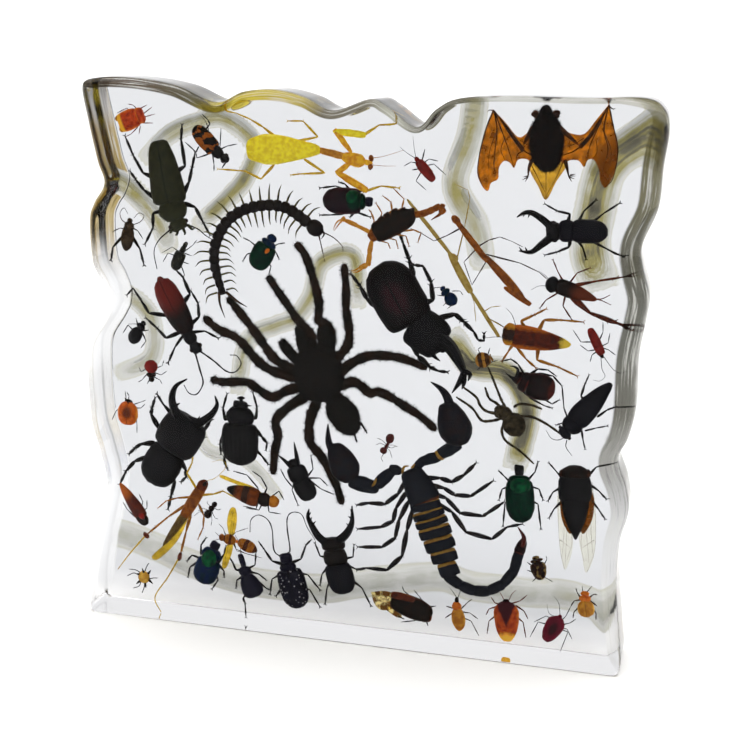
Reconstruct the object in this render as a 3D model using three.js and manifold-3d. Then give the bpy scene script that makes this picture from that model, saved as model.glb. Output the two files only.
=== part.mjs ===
// A standing slab of clear cast resin, polished flat in front, with wavy side and top edges and a back that is
// carved in smooth valleys. It stands on a flat ground base.
//
// Millimetres, +Z up. The origin is the middle of the base. The flat front faces -Y.

import * as THREE from 'three';
import { mergeVertices } from 'three/addons/utils/BufferGeometryUtils.js';
import Module from 'manifold-3d';

// Driving dimensions
const BLOCK_WIDTH = 286;
const BLOCK_HEIGHT = 279;
const BLOCK_DEPTH = 38;
const HALF_WIDTH = BLOCK_WIDTH / 2;
const HALF_DEPTH = BLOCK_DEPTH / 2;

const RIM_RADIUS = 6; // rounding of the front and back rims
const RIM_STEPS = 4;
const BASE_SPARE = 34; // resin below the base plane, ground off
const OUTLINE_STEP = 5; // distance between the outline's facets
const VALLEY_SIDES = 16;
const VALLEY_STEP = 8; // distance between a valley's facets

// Each wavy edge as its crests and notches. A left or right edge is given as (how far it lies inside the slab's
// half width, height), and the top edge as (place across, how far it lies below the slab's height).
const LEFT_EDGE = [
  [42, -BASE_SPARE], [20, 6 - BASE_SPARE], [5, 20 - BASE_SPARE], [1.5, 6], [2, 21], [6, 44], [10.5, 70], [7, 88],
  [2.5, 104], [0.5, 131], [1.5, 147], [9, 160], [12, 168], [9, 177], [4, 187], [2.5, 208], [5, 217], [10.5, 227],
  [7, 238], [2.5, 257],
];
const TOP_EDGE = [
  [-143, 5], [-135, 0.5], [-115, 0], [-94, 3], [-74, 10], [-60, 4.5], [-44, 3], [-29, 6], [-15, 11.5], [3, 5.5],
  [12, 9], [26, 17.5], [35, 9], [46, 3.5], [70, 1.5], [105, 1], [130, 0], [139, 4],
];
const RIGHT_EDGE = [
  [0.5, 266], [2, 248], [3, 229], [9, 212], [8, 202], [4, 188], [5, 175], [7, 158], [6.5, 134], [9, 119],
  [13, 108], [8.5, 95], [6.5, 82], [9.5, 67], [10, 50], [8, 31], [5, 8], [9, 20 - BASE_SPARE],
  [24, 6 - BASE_SPARE], [46, -BASE_SPARE],
];

// The valleys of the back: width and depth of each, and its course as (place across, height). A valley fades out at
// both ends of its course.
const VALLEYS = [
  { width: 17, depth: 7, course: [
    [-170, 34], [-136, 32], [-112, 26], [-92, 19], [-62, 13], [-22, 13], [-2, 19], [20, 25], [44, 31], [60, 28],
    [88, 28], [108, 29], [124, 25], [134, 18], [160, 4],
  ] },
  { width: 16, depth: 7, course: [[-170, 236], [-138, 228], [-124, 221], [-110, 206], [-104, 190]] },
  { width: 14, depth: 5, course: [
    [-120, 236], [-106, 250], [-92, 257], [-76, 260], [-60, 248], [-64, 232], [-76, 218], [-92, 204],
  ] },
  { width: 15, depth: 6, course: [[-170, 186], [-136, 172], [-118, 161], [-113, 148], [-116, 134], [-136, 124]] },
  { width: 18, depth: 7, course: [[51, 306], [49, 262], [42, 234], [53, 214], [58, 192]] },
  { width: 24, depth: 8, course: [[176, 296], [133, 262], [115, 246], [110, 224], [109, 206], [116, 186]] },
  { width: 13, depth: 5, course: [
    [-68, 118], [-62, 148], [-48, 157], [-37, 162], [-29, 174], [-24, 191], [-8, 195], [-4, 168],
  ] },
  { width: 14, depth: 6, course: [[42, 162], [54, 145], [70, 143], [80, 134], [83, 120], [78, 92]] },
  { width: 12, depth: 4, course: [[-90, 104], [-83, 88], [-62, 84], [-42, 64]] },
];

/** The closed outline of the slab, facets an even step apart, with its width centred on the origin. */
function outline() {
  const knots = [
    ...LEFT_EDGE.map(([inset, height]) => new THREE.Vector2(inset - HALF_WIDTH, height)),
    ...TOP_EDGE.map(([across, drop]) => new THREE.Vector2(across, BLOCK_HEIGHT - drop)),
    ...RIGHT_EDGE.map(([inset, height]) => new THREE.Vector2(HALF_WIDTH - inset, height)),
  ];
  const edge = new THREE.SplineCurve(knots);
  const facets = Math.round(edge.getLength() / OUTLINE_STEP);
  const points = edge.getSpacedPoints(facets);
  const middle = new THREE.Box2().setFromPoints(points).getCenter(new THREE.Vector2());
  return new THREE.Shape(points.map((point) => new THREE.Vector2(point.x - middle.x, point.y)));
}

/** The whole cast before it is ground and carved: the outline with rounded rims, standing upright. */
function castSlab() {
  const cast = new THREE.ExtrudeGeometry(outline(), {
    depth: BLOCK_DEPTH - 2 * RIM_RADIUS,
    steps: 1,
    bevelEnabled: true,
    bevelThickness: RIM_RADIUS,
    bevelSize: RIM_RADIUS,
    bevelOffset: -RIM_RADIUS,
    bevelSegments: RIM_STEPS,
  });
  cast.translate(0, 0, -(BLOCK_DEPTH - 2 * RIM_RADIUS) / 2);
  cast.rotateX(Math.PI / 2);
  return cast;
}

/** What grinds the base flat: everything below the base plane. */
function grinder() {
  const block = new THREE.BoxGeometry(2 * BLOCK_WIDTH, 2 * BLOCK_DEPTH, 4 * BASE_SPARE);
  block.translate(0, 0, -2 * BASE_SPARE);
  return block;
}

/** A round bar whose side cuts one valley of the given width and depth into the back. */
function valleyBar({ width, depth, course }) {
  const radius = (width * width / 4 + depth * depth) / (2 * depth);
  const axis = HALF_DEPTH - depth + radius;
  const lastKnot = course.length - 1;
  const route = new THREE.CatmullRomCurve3(course.map(([across, height], knot) => {
    const lift = knot === 0 || knot === lastKnot ? 2 * depth : 0;
    return new THREE.Vector3(across, axis + lift, height);
  }));
  const ring = Array.from({ length: VALLEY_SIDES }, (_, side) => {
    const turn = (2 * Math.PI * (side + 0.5)) / VALLEY_SIDES;
    return new THREE.Vector2(radius * Math.cos(turn), radius * Math.sin(turn));
  });
  return new THREE.ExtrudeGeometry(new THREE.Shape(ring), {
    extrudePath: route,
    steps: Math.round(route.getLength() / VALLEY_STEP),
    bevelEnabled: false,
  });
}

const wasm = await Module();
wasm.setup();

/** A closed geometry as a solid for cutting. */
function solidOf(geometry) {
  const bare = geometry.clone();
  bare.deleteAttribute('normal');
  bare.deleteAttribute('uv');
  const merged = mergeVertices(bare, 1e-4);
  return new wasm.Manifold(new wasm.Mesh({
    numProp: 3,
    vertProperties: merged.getAttribute('position').array,
    triVerts: new Uint32Array(merged.getIndex().array),
  }));
}

/** A cut solid back as a three.js geometry. */
function geometryOf(solid) {
  const mesh = solid.getMesh();
  const geometry = new THREE.BufferGeometry();
  geometry.setAttribute('position', new THREE.BufferAttribute(mesh.vertProperties, 3));
  geometry.setIndex(new THREE.BufferAttribute(mesh.triVerts, 1));
  geometry.computeVertexNormals();
  return geometry;
}

const clearResin = new THREE.MeshStandardMaterial({
  color: 0xf4f6f3,
  roughness: 0.03,
  metalness: 0,
  transparent: true,
  opacity: 0.25,
});

let slab = solidOf(castSlab()).subtract(solidOf(grinder()));
for (const valley of VALLEYS) {
  slab = slab.subtract(solidOf(valleyBar(valley)));
}

const resinBlock = new THREE.Mesh(geometryOf(slab), clearResin);
resinBlock.name = 'resin_block';

const part = new THREE.Group();
part.add(resinBlock);

export default part;
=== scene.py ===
"""Dried insects, spiders, scorpions and a small bat, sealed in a standing slab of clear resin.

The slab's shape is worked out from its outline and the valleys in its back. Each animal is laid out by spots
of the front view, and a sight line that bends at the slab's flat front puts every spot at a real depth in the
resin.
"""

import logging
import math
from dataclasses import dataclass
from enum import Enum
from typing import Any, Sequence

import bpy
import numpy as np
from mathutils import Matrix, Vector, noise


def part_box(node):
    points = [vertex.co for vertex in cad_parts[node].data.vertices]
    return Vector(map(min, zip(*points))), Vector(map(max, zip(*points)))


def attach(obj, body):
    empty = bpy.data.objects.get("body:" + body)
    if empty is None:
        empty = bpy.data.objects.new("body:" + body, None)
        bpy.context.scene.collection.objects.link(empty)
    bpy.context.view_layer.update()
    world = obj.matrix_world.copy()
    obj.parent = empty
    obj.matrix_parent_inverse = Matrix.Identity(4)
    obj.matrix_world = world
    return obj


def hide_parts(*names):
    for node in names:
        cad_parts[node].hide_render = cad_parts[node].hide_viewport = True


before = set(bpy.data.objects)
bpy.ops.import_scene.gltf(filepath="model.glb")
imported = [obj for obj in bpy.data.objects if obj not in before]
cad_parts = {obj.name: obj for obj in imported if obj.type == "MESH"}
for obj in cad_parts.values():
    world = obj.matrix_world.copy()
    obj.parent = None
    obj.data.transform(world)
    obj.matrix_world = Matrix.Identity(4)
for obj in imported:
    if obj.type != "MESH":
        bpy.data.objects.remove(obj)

log = logging.getLogger("slab")

MM = 0.001
BODY = "root"
SLAB_NODE = "resin_block"
RESIN_IOR = 1.5
UNEVEN_SEED = 7  # of the bodies' unevenness, the same in each run
SLAB_LOW, SLAB_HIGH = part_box(SLAB_NODE)
FRONT = SLAB_LOW.y
BACK = SLAB_HIGH.y
SLAB_DEPTH = BACK - FRONT
SLAB_HEIGHT = SLAB_HIGH.z
HALF_WIDTH = (SLAB_HIGH.x - SLAB_LOW.x) / 2

Spot = tuple[float, float]
Path = tuple[Spot, ...]
Span = tuple[float, float]
Scale = tuple[float, float]
Colour = tuple[float, float, float]
Shades = tuple[tuple[float, Colour], ...]
Object = bpy.types.Object


class Slot(str, Enum):
    """The material slots that the record names."""

    RESIN = "clear_resin"
    DARK = "dark_chitin"
    AMBER = "amber_chitin"
    HIDE = "hide"


# --------------------------------------------------------------------------------------- view and sight lines


@dataclass(frozen=True)
class Viewpoint:
    """Where the camera stands, in degrees and millimetres, and its lens."""

    azimuth: float = 12.88
    elevation: float = 12.99
    roll: float = 1.83
    distance: float = 731.4
    target: tuple[float, float, float] = (6.5, 0.0, 136.9)
    lens: float = 70.0
    sensor: float = 36.0
    picture: int = 750

    def back(self) -> Vector:
        """The direction from the target to the camera.

        Returns:
            A vector of length one.
        """
        azimuth, elevation = math.radians(self.azimuth), math.radians(self.elevation)
        level = math.cos(elevation)
        return Vector((math.sin(azimuth) * level, -math.cos(azimuth) * level, math.sin(elevation)))

    def place(self) -> Vector:
        """The camera's place, in metres."""
        return (Vector(self.target) + self.distance * self.back()) * MM

    def turn(self) -> Matrix:
        """The camera's rotation: its columns are right, up and back."""
        level = self.back().to_track_quat("Z", "Y").to_matrix()
        return level @ Matrix.Rotation(math.radians(self.roll), 3, "Z")

    def camera(self) -> Object:
        """Makes the scene's camera.

        Returns:
            The camera object.
        """
        bpy.ops.object.camera_add(location=self.place())
        camera = bpy.context.object
        camera.name = "camera"
        camera.rotation_euler = self.turn().to_euler()
        camera.data.lens = self.lens
        camera.data.sensor_width = self.sensor
        camera.data.clip_end = 100.0
        bpy.context.scene.camera = camera
        return camera


@dataclass(frozen=True)
class Sight:
    """Finds where a spot of the front view lies inside the resin."""

    view: Viewpoint = Viewpoint()

    def ray(self, spot: Spot) -> Vector:
        """Finds the direction in which a spot of the front view is seen.

        Args:
            spot: Across and down in the view, in its pixels.

        Returns:
            The direction, of length one.
        """
        half = self.view.picture / 2
        focal = self.view.lens / self.view.sensor * self.view.picture
        seen = Vector((spot[0] - half, half - spot[1], -focal))
        return (self.view.turn() @ seen).normalized()

    def at(self, spot: Spot, depth: float) -> Vector:
        """A spot's place at a depth behind the front.

        Args:
            spot: Across and down in the view, in its pixels.
            depth: Millimetres behind the slab's flat front.

        Returns:
            The place in metres, reached by a ray that bends at the front.
        """
        ray = self.ray(spot)
        eye = self.view.place()
        entry = eye + ray * ((FRONT - eye.y) / ray.y)
        across, up = ray.x / RESIN_IOR, ray.z / RESIN_IOR
        inward = math.sqrt(1 - across * across - up * up)
        return entry + Vector((across, inward, up)) * (depth * MM / inward)


SIGHT = Sight()


# ----------------------------------------------------------------------------------------------- shader maths


class Value:
    """One socket of a node tree that takes part in Python arithmetic."""

    def __init__(self, tree: "Tree", socket: bpy.types.NodeSocket) -> None:
        """Wraps an output socket of a tree."""
        self.tree = tree
        self.socket = socket

    def math(self, operation: str, *others: Any) -> "Value":
        """Adds a Math node on this value.

        Args:
            operation: The Math node's operation.
            others: Its other inputs, values or numbers.

        Returns:
            The node's result.
        """
        inputs = dict(enumerate((self, *others)))
        return self.tree.add("ShaderNodeMath", {"operation": operation}, inputs)

    def __add__(self, other: Any) -> "Value":
        """The sum."""
        return self.math("ADD", other)

    __radd__ = __add__

    def __mul__(self, other: Any) -> "Value":
        """The product."""
        return self.math("MULTIPLY", other)

    __rmul__ = __mul__

    def __sub__(self, other: Any) -> "Value":
        """The difference."""
        return self.math("SUBTRACT", other)

    def __rsub__(self, other: float) -> "Value":
        """A number less this value."""
        return self.tree.add("ShaderNodeMath", {"operation": "SUBTRACT"}, {0: other, 1: self})

    def __truediv__(self, other: Any) -> "Value":
        """The quotient."""
        return self.math("DIVIDE", other)

    def size(self) -> "Value":
        """The value without its sign."""
        return self.math("ABSOLUTE")

    def rise(self, low: float, high: float) -> "Value":
        """Eases from 0 to 1 between two values.

        Args:
            low: The value up to which the result is 0.
            high: The value from which it is 1. It may be the lower of the two.

        Returns:
            The eased value.
        """
        settings = {"interpolation_type": "SMOOTHSTEP"}
        inputs = {"Value": self, "From Min": low, "From Max": high}
        return self.tree.add("ShaderNodeMapRange", settings, inputs)


class Tree:
    """The node tree of one material, or of the world."""

    def __init__(self, name: str, world: bool = False) -> None:
        """Makes a new material or world and its output.

        Args:
            name: Its name.
            world: Whether it is the world's.
        """
        holders = bpy.data.worlds if world else bpy.data.materials
        self.holder = holders.new(name)
        self.holder.use_nodes = True
        self.nodes = self.holder.node_tree.nodes
        self.links = self.holder.node_tree.links
        self.nodes.clear()
        self.output = self.nodes.new("ShaderNodeOutputWorld" if world else "ShaderNodeOutputMaterial")

    def add(
        self,
        kind: str,
        settings: dict[str, Any] | None = None,
        inputs: dict[Any, Any] | None = None,
        result: Any = 0,
    ) -> Value:
        """Adds a node.

        Args:
            kind: The node's type.
            settings: Its properties, set first. "stops" holds a ramp's (place, colour) pairs.
            inputs: Its sockets by name or number, as numbers, colours or values.
            result: The output to return, by name or number.

        Returns:
            That output.
        """
        node = self.nodes.new(kind)
        for name, setting in (settings or {}).items():
            if name == "stops":
                self.set_stops(node.color_ramp, setting)
            else:
                setattr(node, name, setting)
        for name, given in (inputs or {}).items():
            if isinstance(given, Value):
                self.links.new(given.socket, node.inputs[name])
            else:
                node.inputs[name].default_value = given
        return Value(self, node.outputs[result])

    @staticmethod
    def set_stops(ramp: bpy.types.ColorRamp, stops: Sequence[tuple[float, Colour]]) -> None:
        """Gives a ramp its stops.

        Args:
            ramp: The ramp of a node.
            stops: Its places, in order, and the colour at each.
        """
        while len(ramp.elements) < len(stops):
            ramp.elements.new(1.0)
        for element, (place, colour) in zip(ramp.elements, stops):
            element.position = place
            element.color = (*colour, 1.0)

    def place(self) -> Value:
        """Object coordinates, in metres."""
        return self.add("ShaderNodeTexCoord", result="Object")

    def split(self, vector: Value) -> tuple[Value, Value, Value]:
        """The three parts of a vector."""
        parts = [self.add("ShaderNodeSeparateXYZ", inputs={0: vector}, result=axis) for axis in "XYZ"]
        return parts[0], parts[1], parts[2]

    def noted(self, attribute: str) -> tuple[Value, Value, Value]:
        """The three parts of a mesh attribute."""
        return self.split(self.add("ShaderNodeAttribute", {"attribute_name": attribute}, result="Vector"))

    def noise(self, size: float, detail: float = 3.0, roughness: float = 0.55) -> Value:
        """Noise whose lumps are about this many millimetres."""
        inputs = {"Vector": self.place(), "Scale": 1 / (size * MM), "Detail": detail, "Roughness": roughness}
        return self.add("ShaderNodeTexNoise", inputs=inputs, result="Fac")

    def cells(self, size: float, feature: str = "F1") -> Value:
        """Distance to the nearest of scattered points about this many millimetres apart."""
        inputs = {"Vector": self.place(), "Scale": 1 / (size * MM)}
        return self.add("ShaderNodeTexVoronoi", {"feature": feature}, inputs, "Distance")

    def blend(self, factor: Any, first: Any, second: Any) -> Value:
        """Mixes two colours.

        Args:
            factor: The share of the second one, 0 to 1.
            first: A colour, or a value that carries one.
            second: The same for the other one.

        Returns:
            The mix.
        """
        colours = [(*c, 1.0) if isinstance(c, tuple) else c for c in (first, second)]
        inputs = {0: factor, 6: colours[0], 7: colours[1]}
        return self.add("ShaderNodeMix", {"data_type": "RGBA"}, inputs, 2)

    def ramp(self, factor: Value, *stops: tuple[float, Colour]) -> Value:
        """A colour ramp."""
        return self.add("ShaderNodeValToRGB", {"stops": stops}, {0: factor}, "Color")

    def bump(self, height: Value, depth: float, strength: float = 1.0) -> Value:
        """A normal from a height of 0 to 1 that stands for a depth in millimetres."""
        inputs = {"Height": height, "Distance": depth * MM, "Strength": strength}
        return self.add("ShaderNodeBump", inputs=inputs)

    def finish(self, shader: Value) -> Any:
        """Joins a shader to the output and returns the material or the world."""
        self.links.new(shader.socket, self.output.inputs["Surface"])
        return self.holder


# The mesh attributes that the finishes read
BODY_PLACE = "body_place"  # across from the middle, whether it has a seam, along from the tail
SLAB_WORK = "slab_work"  # how much of a rim, the place around it, how much painted shade a valley gives


# --------------------------------------------------------------------------------------------------- finishes


SIDES = 4  # the slab's left edge, top, right edge and base, in this order around

# The rims as seen, with painted shade, light and reflections for what their rounding refracts, by place
# around: 0 at the foot of the left edge, 0.75 at the foot of the right edge
RIM_PAINTED_SHADES: Shades = (
    (0.000, (0.95, 0.95, 0.95)), (0.055, (0.92, 0.92, 0.91)), (0.070, (0.45, 0.48, 0.58)),
    (0.085, (0.60, 0.52, 0.34)), (0.105, (0.52, 0.52, 0.52)), (0.135, (0.62, 0.61, 0.58)),
    (0.150, (0.82, 0.82, 0.82)), (0.165, (0.52, 0.48, 0.42)), (0.185, (0.55, 0.45, 0.24)),
    (0.200, (0.44, 0.33, 0.11)), (0.230, (0.42, 0.32, 0.13)), (0.240, (0.55, 0.53, 0.50)),
    (0.252, (0.10, 0.085, 0.07)), (0.275, (0.12, 0.085, 0.06)), (0.304, (0.11, 0.10, 0.055)),
    # 0.316 to 0.345: a painted reflection of the yellow mantis in the top rim
    (0.316, (0.60, 0.49, 0.06)), (0.345, (0.52, 0.42, 0.06)), (0.358, (0.15, 0.13, 0.09)),
    (0.380, (0.20, 0.18, 0.13)), (0.390, (0.50, 0.50, 0.42)), (0.402, (0.14, 0.13, 0.10)),
    (0.424, (0.17, 0.16, 0.12)), (0.436, (0.60, 0.60, 0.56)), (0.490, (0.58, 0.57, 0.52)),
    (0.514, (0.36, 0.34, 0.24)), (0.522, (0.18, 0.165, 0.095)), (0.545, (0.16, 0.15, 0.095)),
    (0.560, (0.13, 0.125, 0.10)), (0.600, (0.15, 0.15, 0.13)), (0.632, (0.17, 0.165, 0.14)),
    (0.653, (0.36, 0.355, 0.33)), (0.710, (0.86, 0.86, 0.86)),
)
# The back as seen, with painted shade for the darker bands that the valleys' slopes refract, from where it
# isn't carved, 0, to the darkest, 1
VALLEY_PAINTED_SHADES: Shades = (
    (0.00, (0.787, 0.795, 0.812)), (0.04, (0.62, 0.61, 0.53)), (0.10, (0.64, 0.64, 0.61)),
    (0.22, (0.50, 0.50, 0.455)), (0.38, (0.40, 0.385, 0.27)), (0.54, (0.31, 0.275, 0.10)),
    (0.74, (0.16, 0.15, 0.10)), (1.00, (0.07, 0.065, 0.05)),
)


@dataclass(frozen=True)
class ClearResin:
    """Clear cast resin, faintly tinted by its thickness, with painted shade, light and reflections on its
    rims and painted shade in its carved valleys, for what they refract.

    A crossing of the surface takes the root of the base colour, so the shades, given as seen, are squared.
    The flat surfaces are tinted above the foot, and the low part of the left rim lets most of the light
    straight through. A span gives where something starts and where it is whole: as a share of the rim, of the
    valleys' painted shade or of a streak's noise, in metres up from the base, or in sides around the slab. A
    scale gives how finely streaks change along and across.
    """

    tint: Colour = (0.930, 0.931, 0.933)
    density: float = 42.0
    gloss: float = 0.11
    clear: Colour = (0.62, 0.632, 0.66)
    foot: Colour = (0.95, 0.95, 0.96)
    foot_span: Span = (0.009, 0.020)
    # painted shade and reflections on the rims, by place around
    rims: Shades = RIM_PAINTED_SHADES
    rim_span: Span = (0.015, 0.14)
    # painted light along the rims' streaks
    painted_light_streak: Colour = (0.50, 0.49, 0.42)
    light_span: Span = (0.51, 0.64)
    light_share: float = 0.5
    # painted shade along the rims' streaks
    painted_dark_streak: Colour = (0.004, 0.0035, 0.0025)
    dark_span: Span = (0.46, 0.36)
    dark_share: float = 0.6
    fine_streaks: Scale = (13.0, 9.0)
    fine_share: float = 0.6
    broad_streaks: Scale = (6.0, 3.0)
    broad_share: float = 0.4
    # painted shade of the carved valleys
    valleys: Shades = VALLEY_PAINTED_SHADES
    valley_span: Span = (0.005, 0.03)
    shade_wisps: Scale = (45.0, 15.0)
    shade_wisp_share: float = 1.6
    shade_cloud_size: float = 17.0
    shade_cloud_share: float = 1.9
    shade_gap: float = 0.75
    ripple_size: float = 26.0
    ripple_depth: float = 0.12
    rim_ripple: float = 1.4
    polished: Colour = (0.96, 0.96, 0.965)
    polish_span: Span = (0.02, 0.30)
    polish_foot: Span = (0.0, 0.02)
    polish_top: Span = (0.74, 0.62)
    polish_share: float = 0.85
    grey_foot: Span = (0.20, 0.27)
    grey_top: Span = (0.50, 0.43)
    grey_share: float = 0.30

    def make(self) -> bpy.types.Material:
        """Builds the material.

        Returns:
            The material, with its surface and the volume inside.
        """
        tree = Tree("clear_resin")
        rim, around, valley = tree.noted(SLAB_WORK)
        fine = self.streaks(tree, around * self.fine_streaks[0], rim * self.fine_streaks[1])
        inputs = {
            "Base Color": self.surface(tree, rim, around, valley, fine), "Roughness": 0.0, "IOR": RESIN_IOR,
            "Specular Tint": (self.gloss, self.gloss, self.gloss, 1.0), "Transmission Weight": 1.0,
            "Normal": tree.bump(
                tree.noise(self.ripple_size, 1.0) + fine * rim * self.rim_ripple, self.ripple_depth,
            ),
        }
        resin = tree.add("ShaderNodeBsdfPrincipled", inputs=inputs)
        straight = tree.add("ShaderNodeBsdfTransparent", inputs={"Color": (*self.polished, 1.0)})
        mixed = tree.add("ShaderNodeMixShader", inputs={0: self.low_left(rim, around), 1: resin, 2: straight})
        inside = {"Color": (*self.tint, 1.0), "Density": self.density}
        absorb = tree.add("ShaderNodeVolumeAbsorption", inputs=inside)
        tree.links.new(absorb.socket, tree.output.inputs["Volume"])
        return tree.finish(mixed)

    def surface(self, tree: Tree, rim: Value, around: Value, valley: Value, fine: Value) -> Value:
        """The surface's colour: clear, with painted shade, light and reflections on the rims and painted
        shade in the valleys.

        Args:
            tree: The material's nodes.
            rim: How much of a rim a place is.
            around: The place around the slab.
            valley: How much painted shade the place gets in a valley.
            fine: The fine streaks.

        Returns:
            The colour.
        """
        across, _, up = tree.split(tree.place())
        broad = self.streaks(tree, around * self.broad_streaks[0], rim * self.broad_streaks[1])
        streak = fine * self.fine_share + broad * self.broad_share
        # painted shade, light and reflections on the rims
        shade = tree.ramp(around * (1 / SIDES), *self.squared(self.rims))
        shade = tree.blend(streak.rise(*self.light_span) * self.light_share, shade, self.painted_light_streak)
        shade = tree.blend(streak.rise(*self.dark_span) * self.dark_share, shade, self.painted_dark_streak)
        clear = tree.blend(up.rise(*self.foot_span), self.foot, self.clear)
        colour = tree.blend(rim.rise(*self.rim_span), clear, shade)
        shade_wisps = self.streaks(tree, (across - up) * self.shade_wisps[0], valley * self.shade_wisps[1])
        shade_clouds = tree.noise(self.shade_cloud_size)
        thick = self.shade_wisp_share * shade_wisps + self.shade_cloud_share * shade_clouds - self.shade_gap
        # painted shade in the valleys, for the dark bands that they refract
        painted_shade = tree.ramp(valley * thick, *self.squared(self.valleys))
        return tree.blend(valley.rise(*self.valley_span), colour, painted_shade)

    def low_left(self, rim: Value, around: Value) -> Value:
        """Finds how much light goes straight through: most at the low left rim, less where that is greyer.

        Args:
            rim: How much of a rim a place is.
            around: The place around the slab.

        Returns:
            The share, 0 to 1.
        """
        greyer = around.rise(*self.grey_foot) * around.rise(*self.grey_top)
        share = self.polish_share - greyer * self.grey_share
        polished = rim.rise(*self.polish_span) * around.rise(*self.polish_top)
        return polished * around.rise(*self.polish_foot) * share

    @staticmethod
    def squared(shades: Shades) -> list[tuple[float, Colour]]:
        """The shades with each colour times itself."""
        return [(place, tuple(part * part for part in colour)) for place, colour in shades]

    @staticmethod
    def streaks(tree: Tree, along: Value, across: Value) -> Value:
        """Noise drawn out along the rim."""
        vector = tree.add("ShaderNodeCombineXYZ", inputs={0: along, 1: across, 2: 0.0})
        return tree.add(
            "ShaderNodeTexNoise", inputs={"Vector": vector, "Scale": 1.0, "Detail": 4.0}, result="Fac",
        )


# --------------------------------------------------------------------------------------------------- the slab

# Each wavy edge as its crests and notches, in millimetres. A left or right edge is given as (how far it lies
# inside the slab's half width, height), and the top edge as (place across, how far it lies below the slab's
# height).
LEFT_EDGE = (
    (1.5, 0), (1.5, 6), (2, 21), (6, 44), (10.5, 70), (7, 88), (2.5, 104), (0.5, 131), (1.5, 147), (9, 160),
    (12, 168), (9, 177), (4, 187), (2.5, 208), (5, 217), (10.5, 227), (7, 238), (2.5, 257),
)
TOP_EDGE = (
    (-143, 5), (-135, 0.5), (-115, 0), (-94, 3), (-74, 10), (-60, 4.5), (-44, 3), (-29, 6), (-15, 11.5),
    (3, 5.5), (12, 9), (26, 17.5), (35, 9), (46, 3.5), (70, 1.5), (105, 1), (130, 0), (139, 4),
)
RIGHT_EDGE = (
    (0.5, 266), (2, 248), (3, 229), (9, 212), (8, 202), (4, 188), (5, 175), (7, 158), (6.5, 134), (9, 119),
    (13, 108), (8.5, 95), (6.5, 82), (9.5, 67), (10, 50), (8, 31), (5, 8), (5, 0),
)


@dataclass(frozen=True)
class Valley:
    """A valley in the back: its width and depth, how much painted shade it gets, and its course across and
    up.
    """

    width: float
    depth: float
    painted_shade: float
    course: tuple[tuple[float, float], ...]


VALLEYS = (
    Valley(
        14, 2.3, 0.22,
        (
            (-170, 38), (-136, 37), (-112, 31), (-92, 24), (-62, 18), (-22, 18), (-2, 23), (20, 28), (44, 32),
            (60, 29), (88, 29), (108, 30), (124, 26), (134, 18), (160, 4),
        ),
    ),
    Valley(10, 2.3, 0.44, ((-170, 236), (-138, 228), (-124, 221), (-110, 206), (-104, 190))),
    Valley(
        8, 1.9, 0.46,
        ((-120, 236), (-106, 250), (-92, 257), (-76, 260), (-60, 248), (-64, 232), (-76, 218), (-92, 204)),
    ),
    Valley(8.5, 2.0, 0.34, ((-170, 186), (-136, 172), (-118, 161), (-113, 148), (-116, 134), (-136, 124))),
    Valley(11, 2.7, 0.44, ((51, 306), (49, 262), (42, 234), (53, 214), (58, 192))),
    Valley(16, 3.6, 0.72, ((176, 296), (133, 262), (115, 246), (110, 224), (109, 206), (116, 186))),
    Valley(
        8, 1.9, 0.44,
        ((-68, 118), (-62, 148), (-48, 157), (-37, 162), (-29, 174), (-24, 191), (-8, 195), (-4, 168)),
    ),
    Valley(10.5, 2.6, 0.88, ((42, 162), (54, 145), (70, 143), (80, 134), (83, 120), (78, 92))),
    Valley(6.5, 1.6, 0.22, ((-90, 104), (-83, 88), (-62, 84), (-42, 64))),
)


def spline(knots: np.ndarray, steps: int) -> np.ndarray:
    """An even curve through knots.

    Args:
        knots: One row for each knot.
        steps: Points for each stretch between two knots.

    Returns:
        The curve's points, the last knot included.
    """
    held = np.vstack([2 * knots[0] - knots[1], knots, 2 * knots[-1] - knots[-2]])
    t = np.linspace(0, 1, steps, endpoint=False)[:, None]
    rows = []
    for a, b, c, d in zip(held, held[1:], held[2:], held[3:]):
        square, cube = 2 * a - 5 * b + 4 * c - d, 3 * b - a - 3 * c + d
        rows.append(0.5 * (2 * b + (c - a) * t + square * t**2 + cube * t**3))
    return np.vstack([*rows, knots[-1:]])


def evenly(points: np.ndarray, count: int) -> np.ndarray:
    """Divides a line in equal steps.

    Args:
        points: The line's points.
        count: How many steps.

    Returns:
        The points at the steps' ends.
    """
    lengths = np.hstack([0, np.cumsum(np.linalg.norm(np.diff(points, axis=0), axis=1))])
    wanted = np.linspace(0, lengths[-1], count + 1)
    return np.stack([np.interp(wanted, lengths, axis) for axis in points.T], axis=1)


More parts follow.
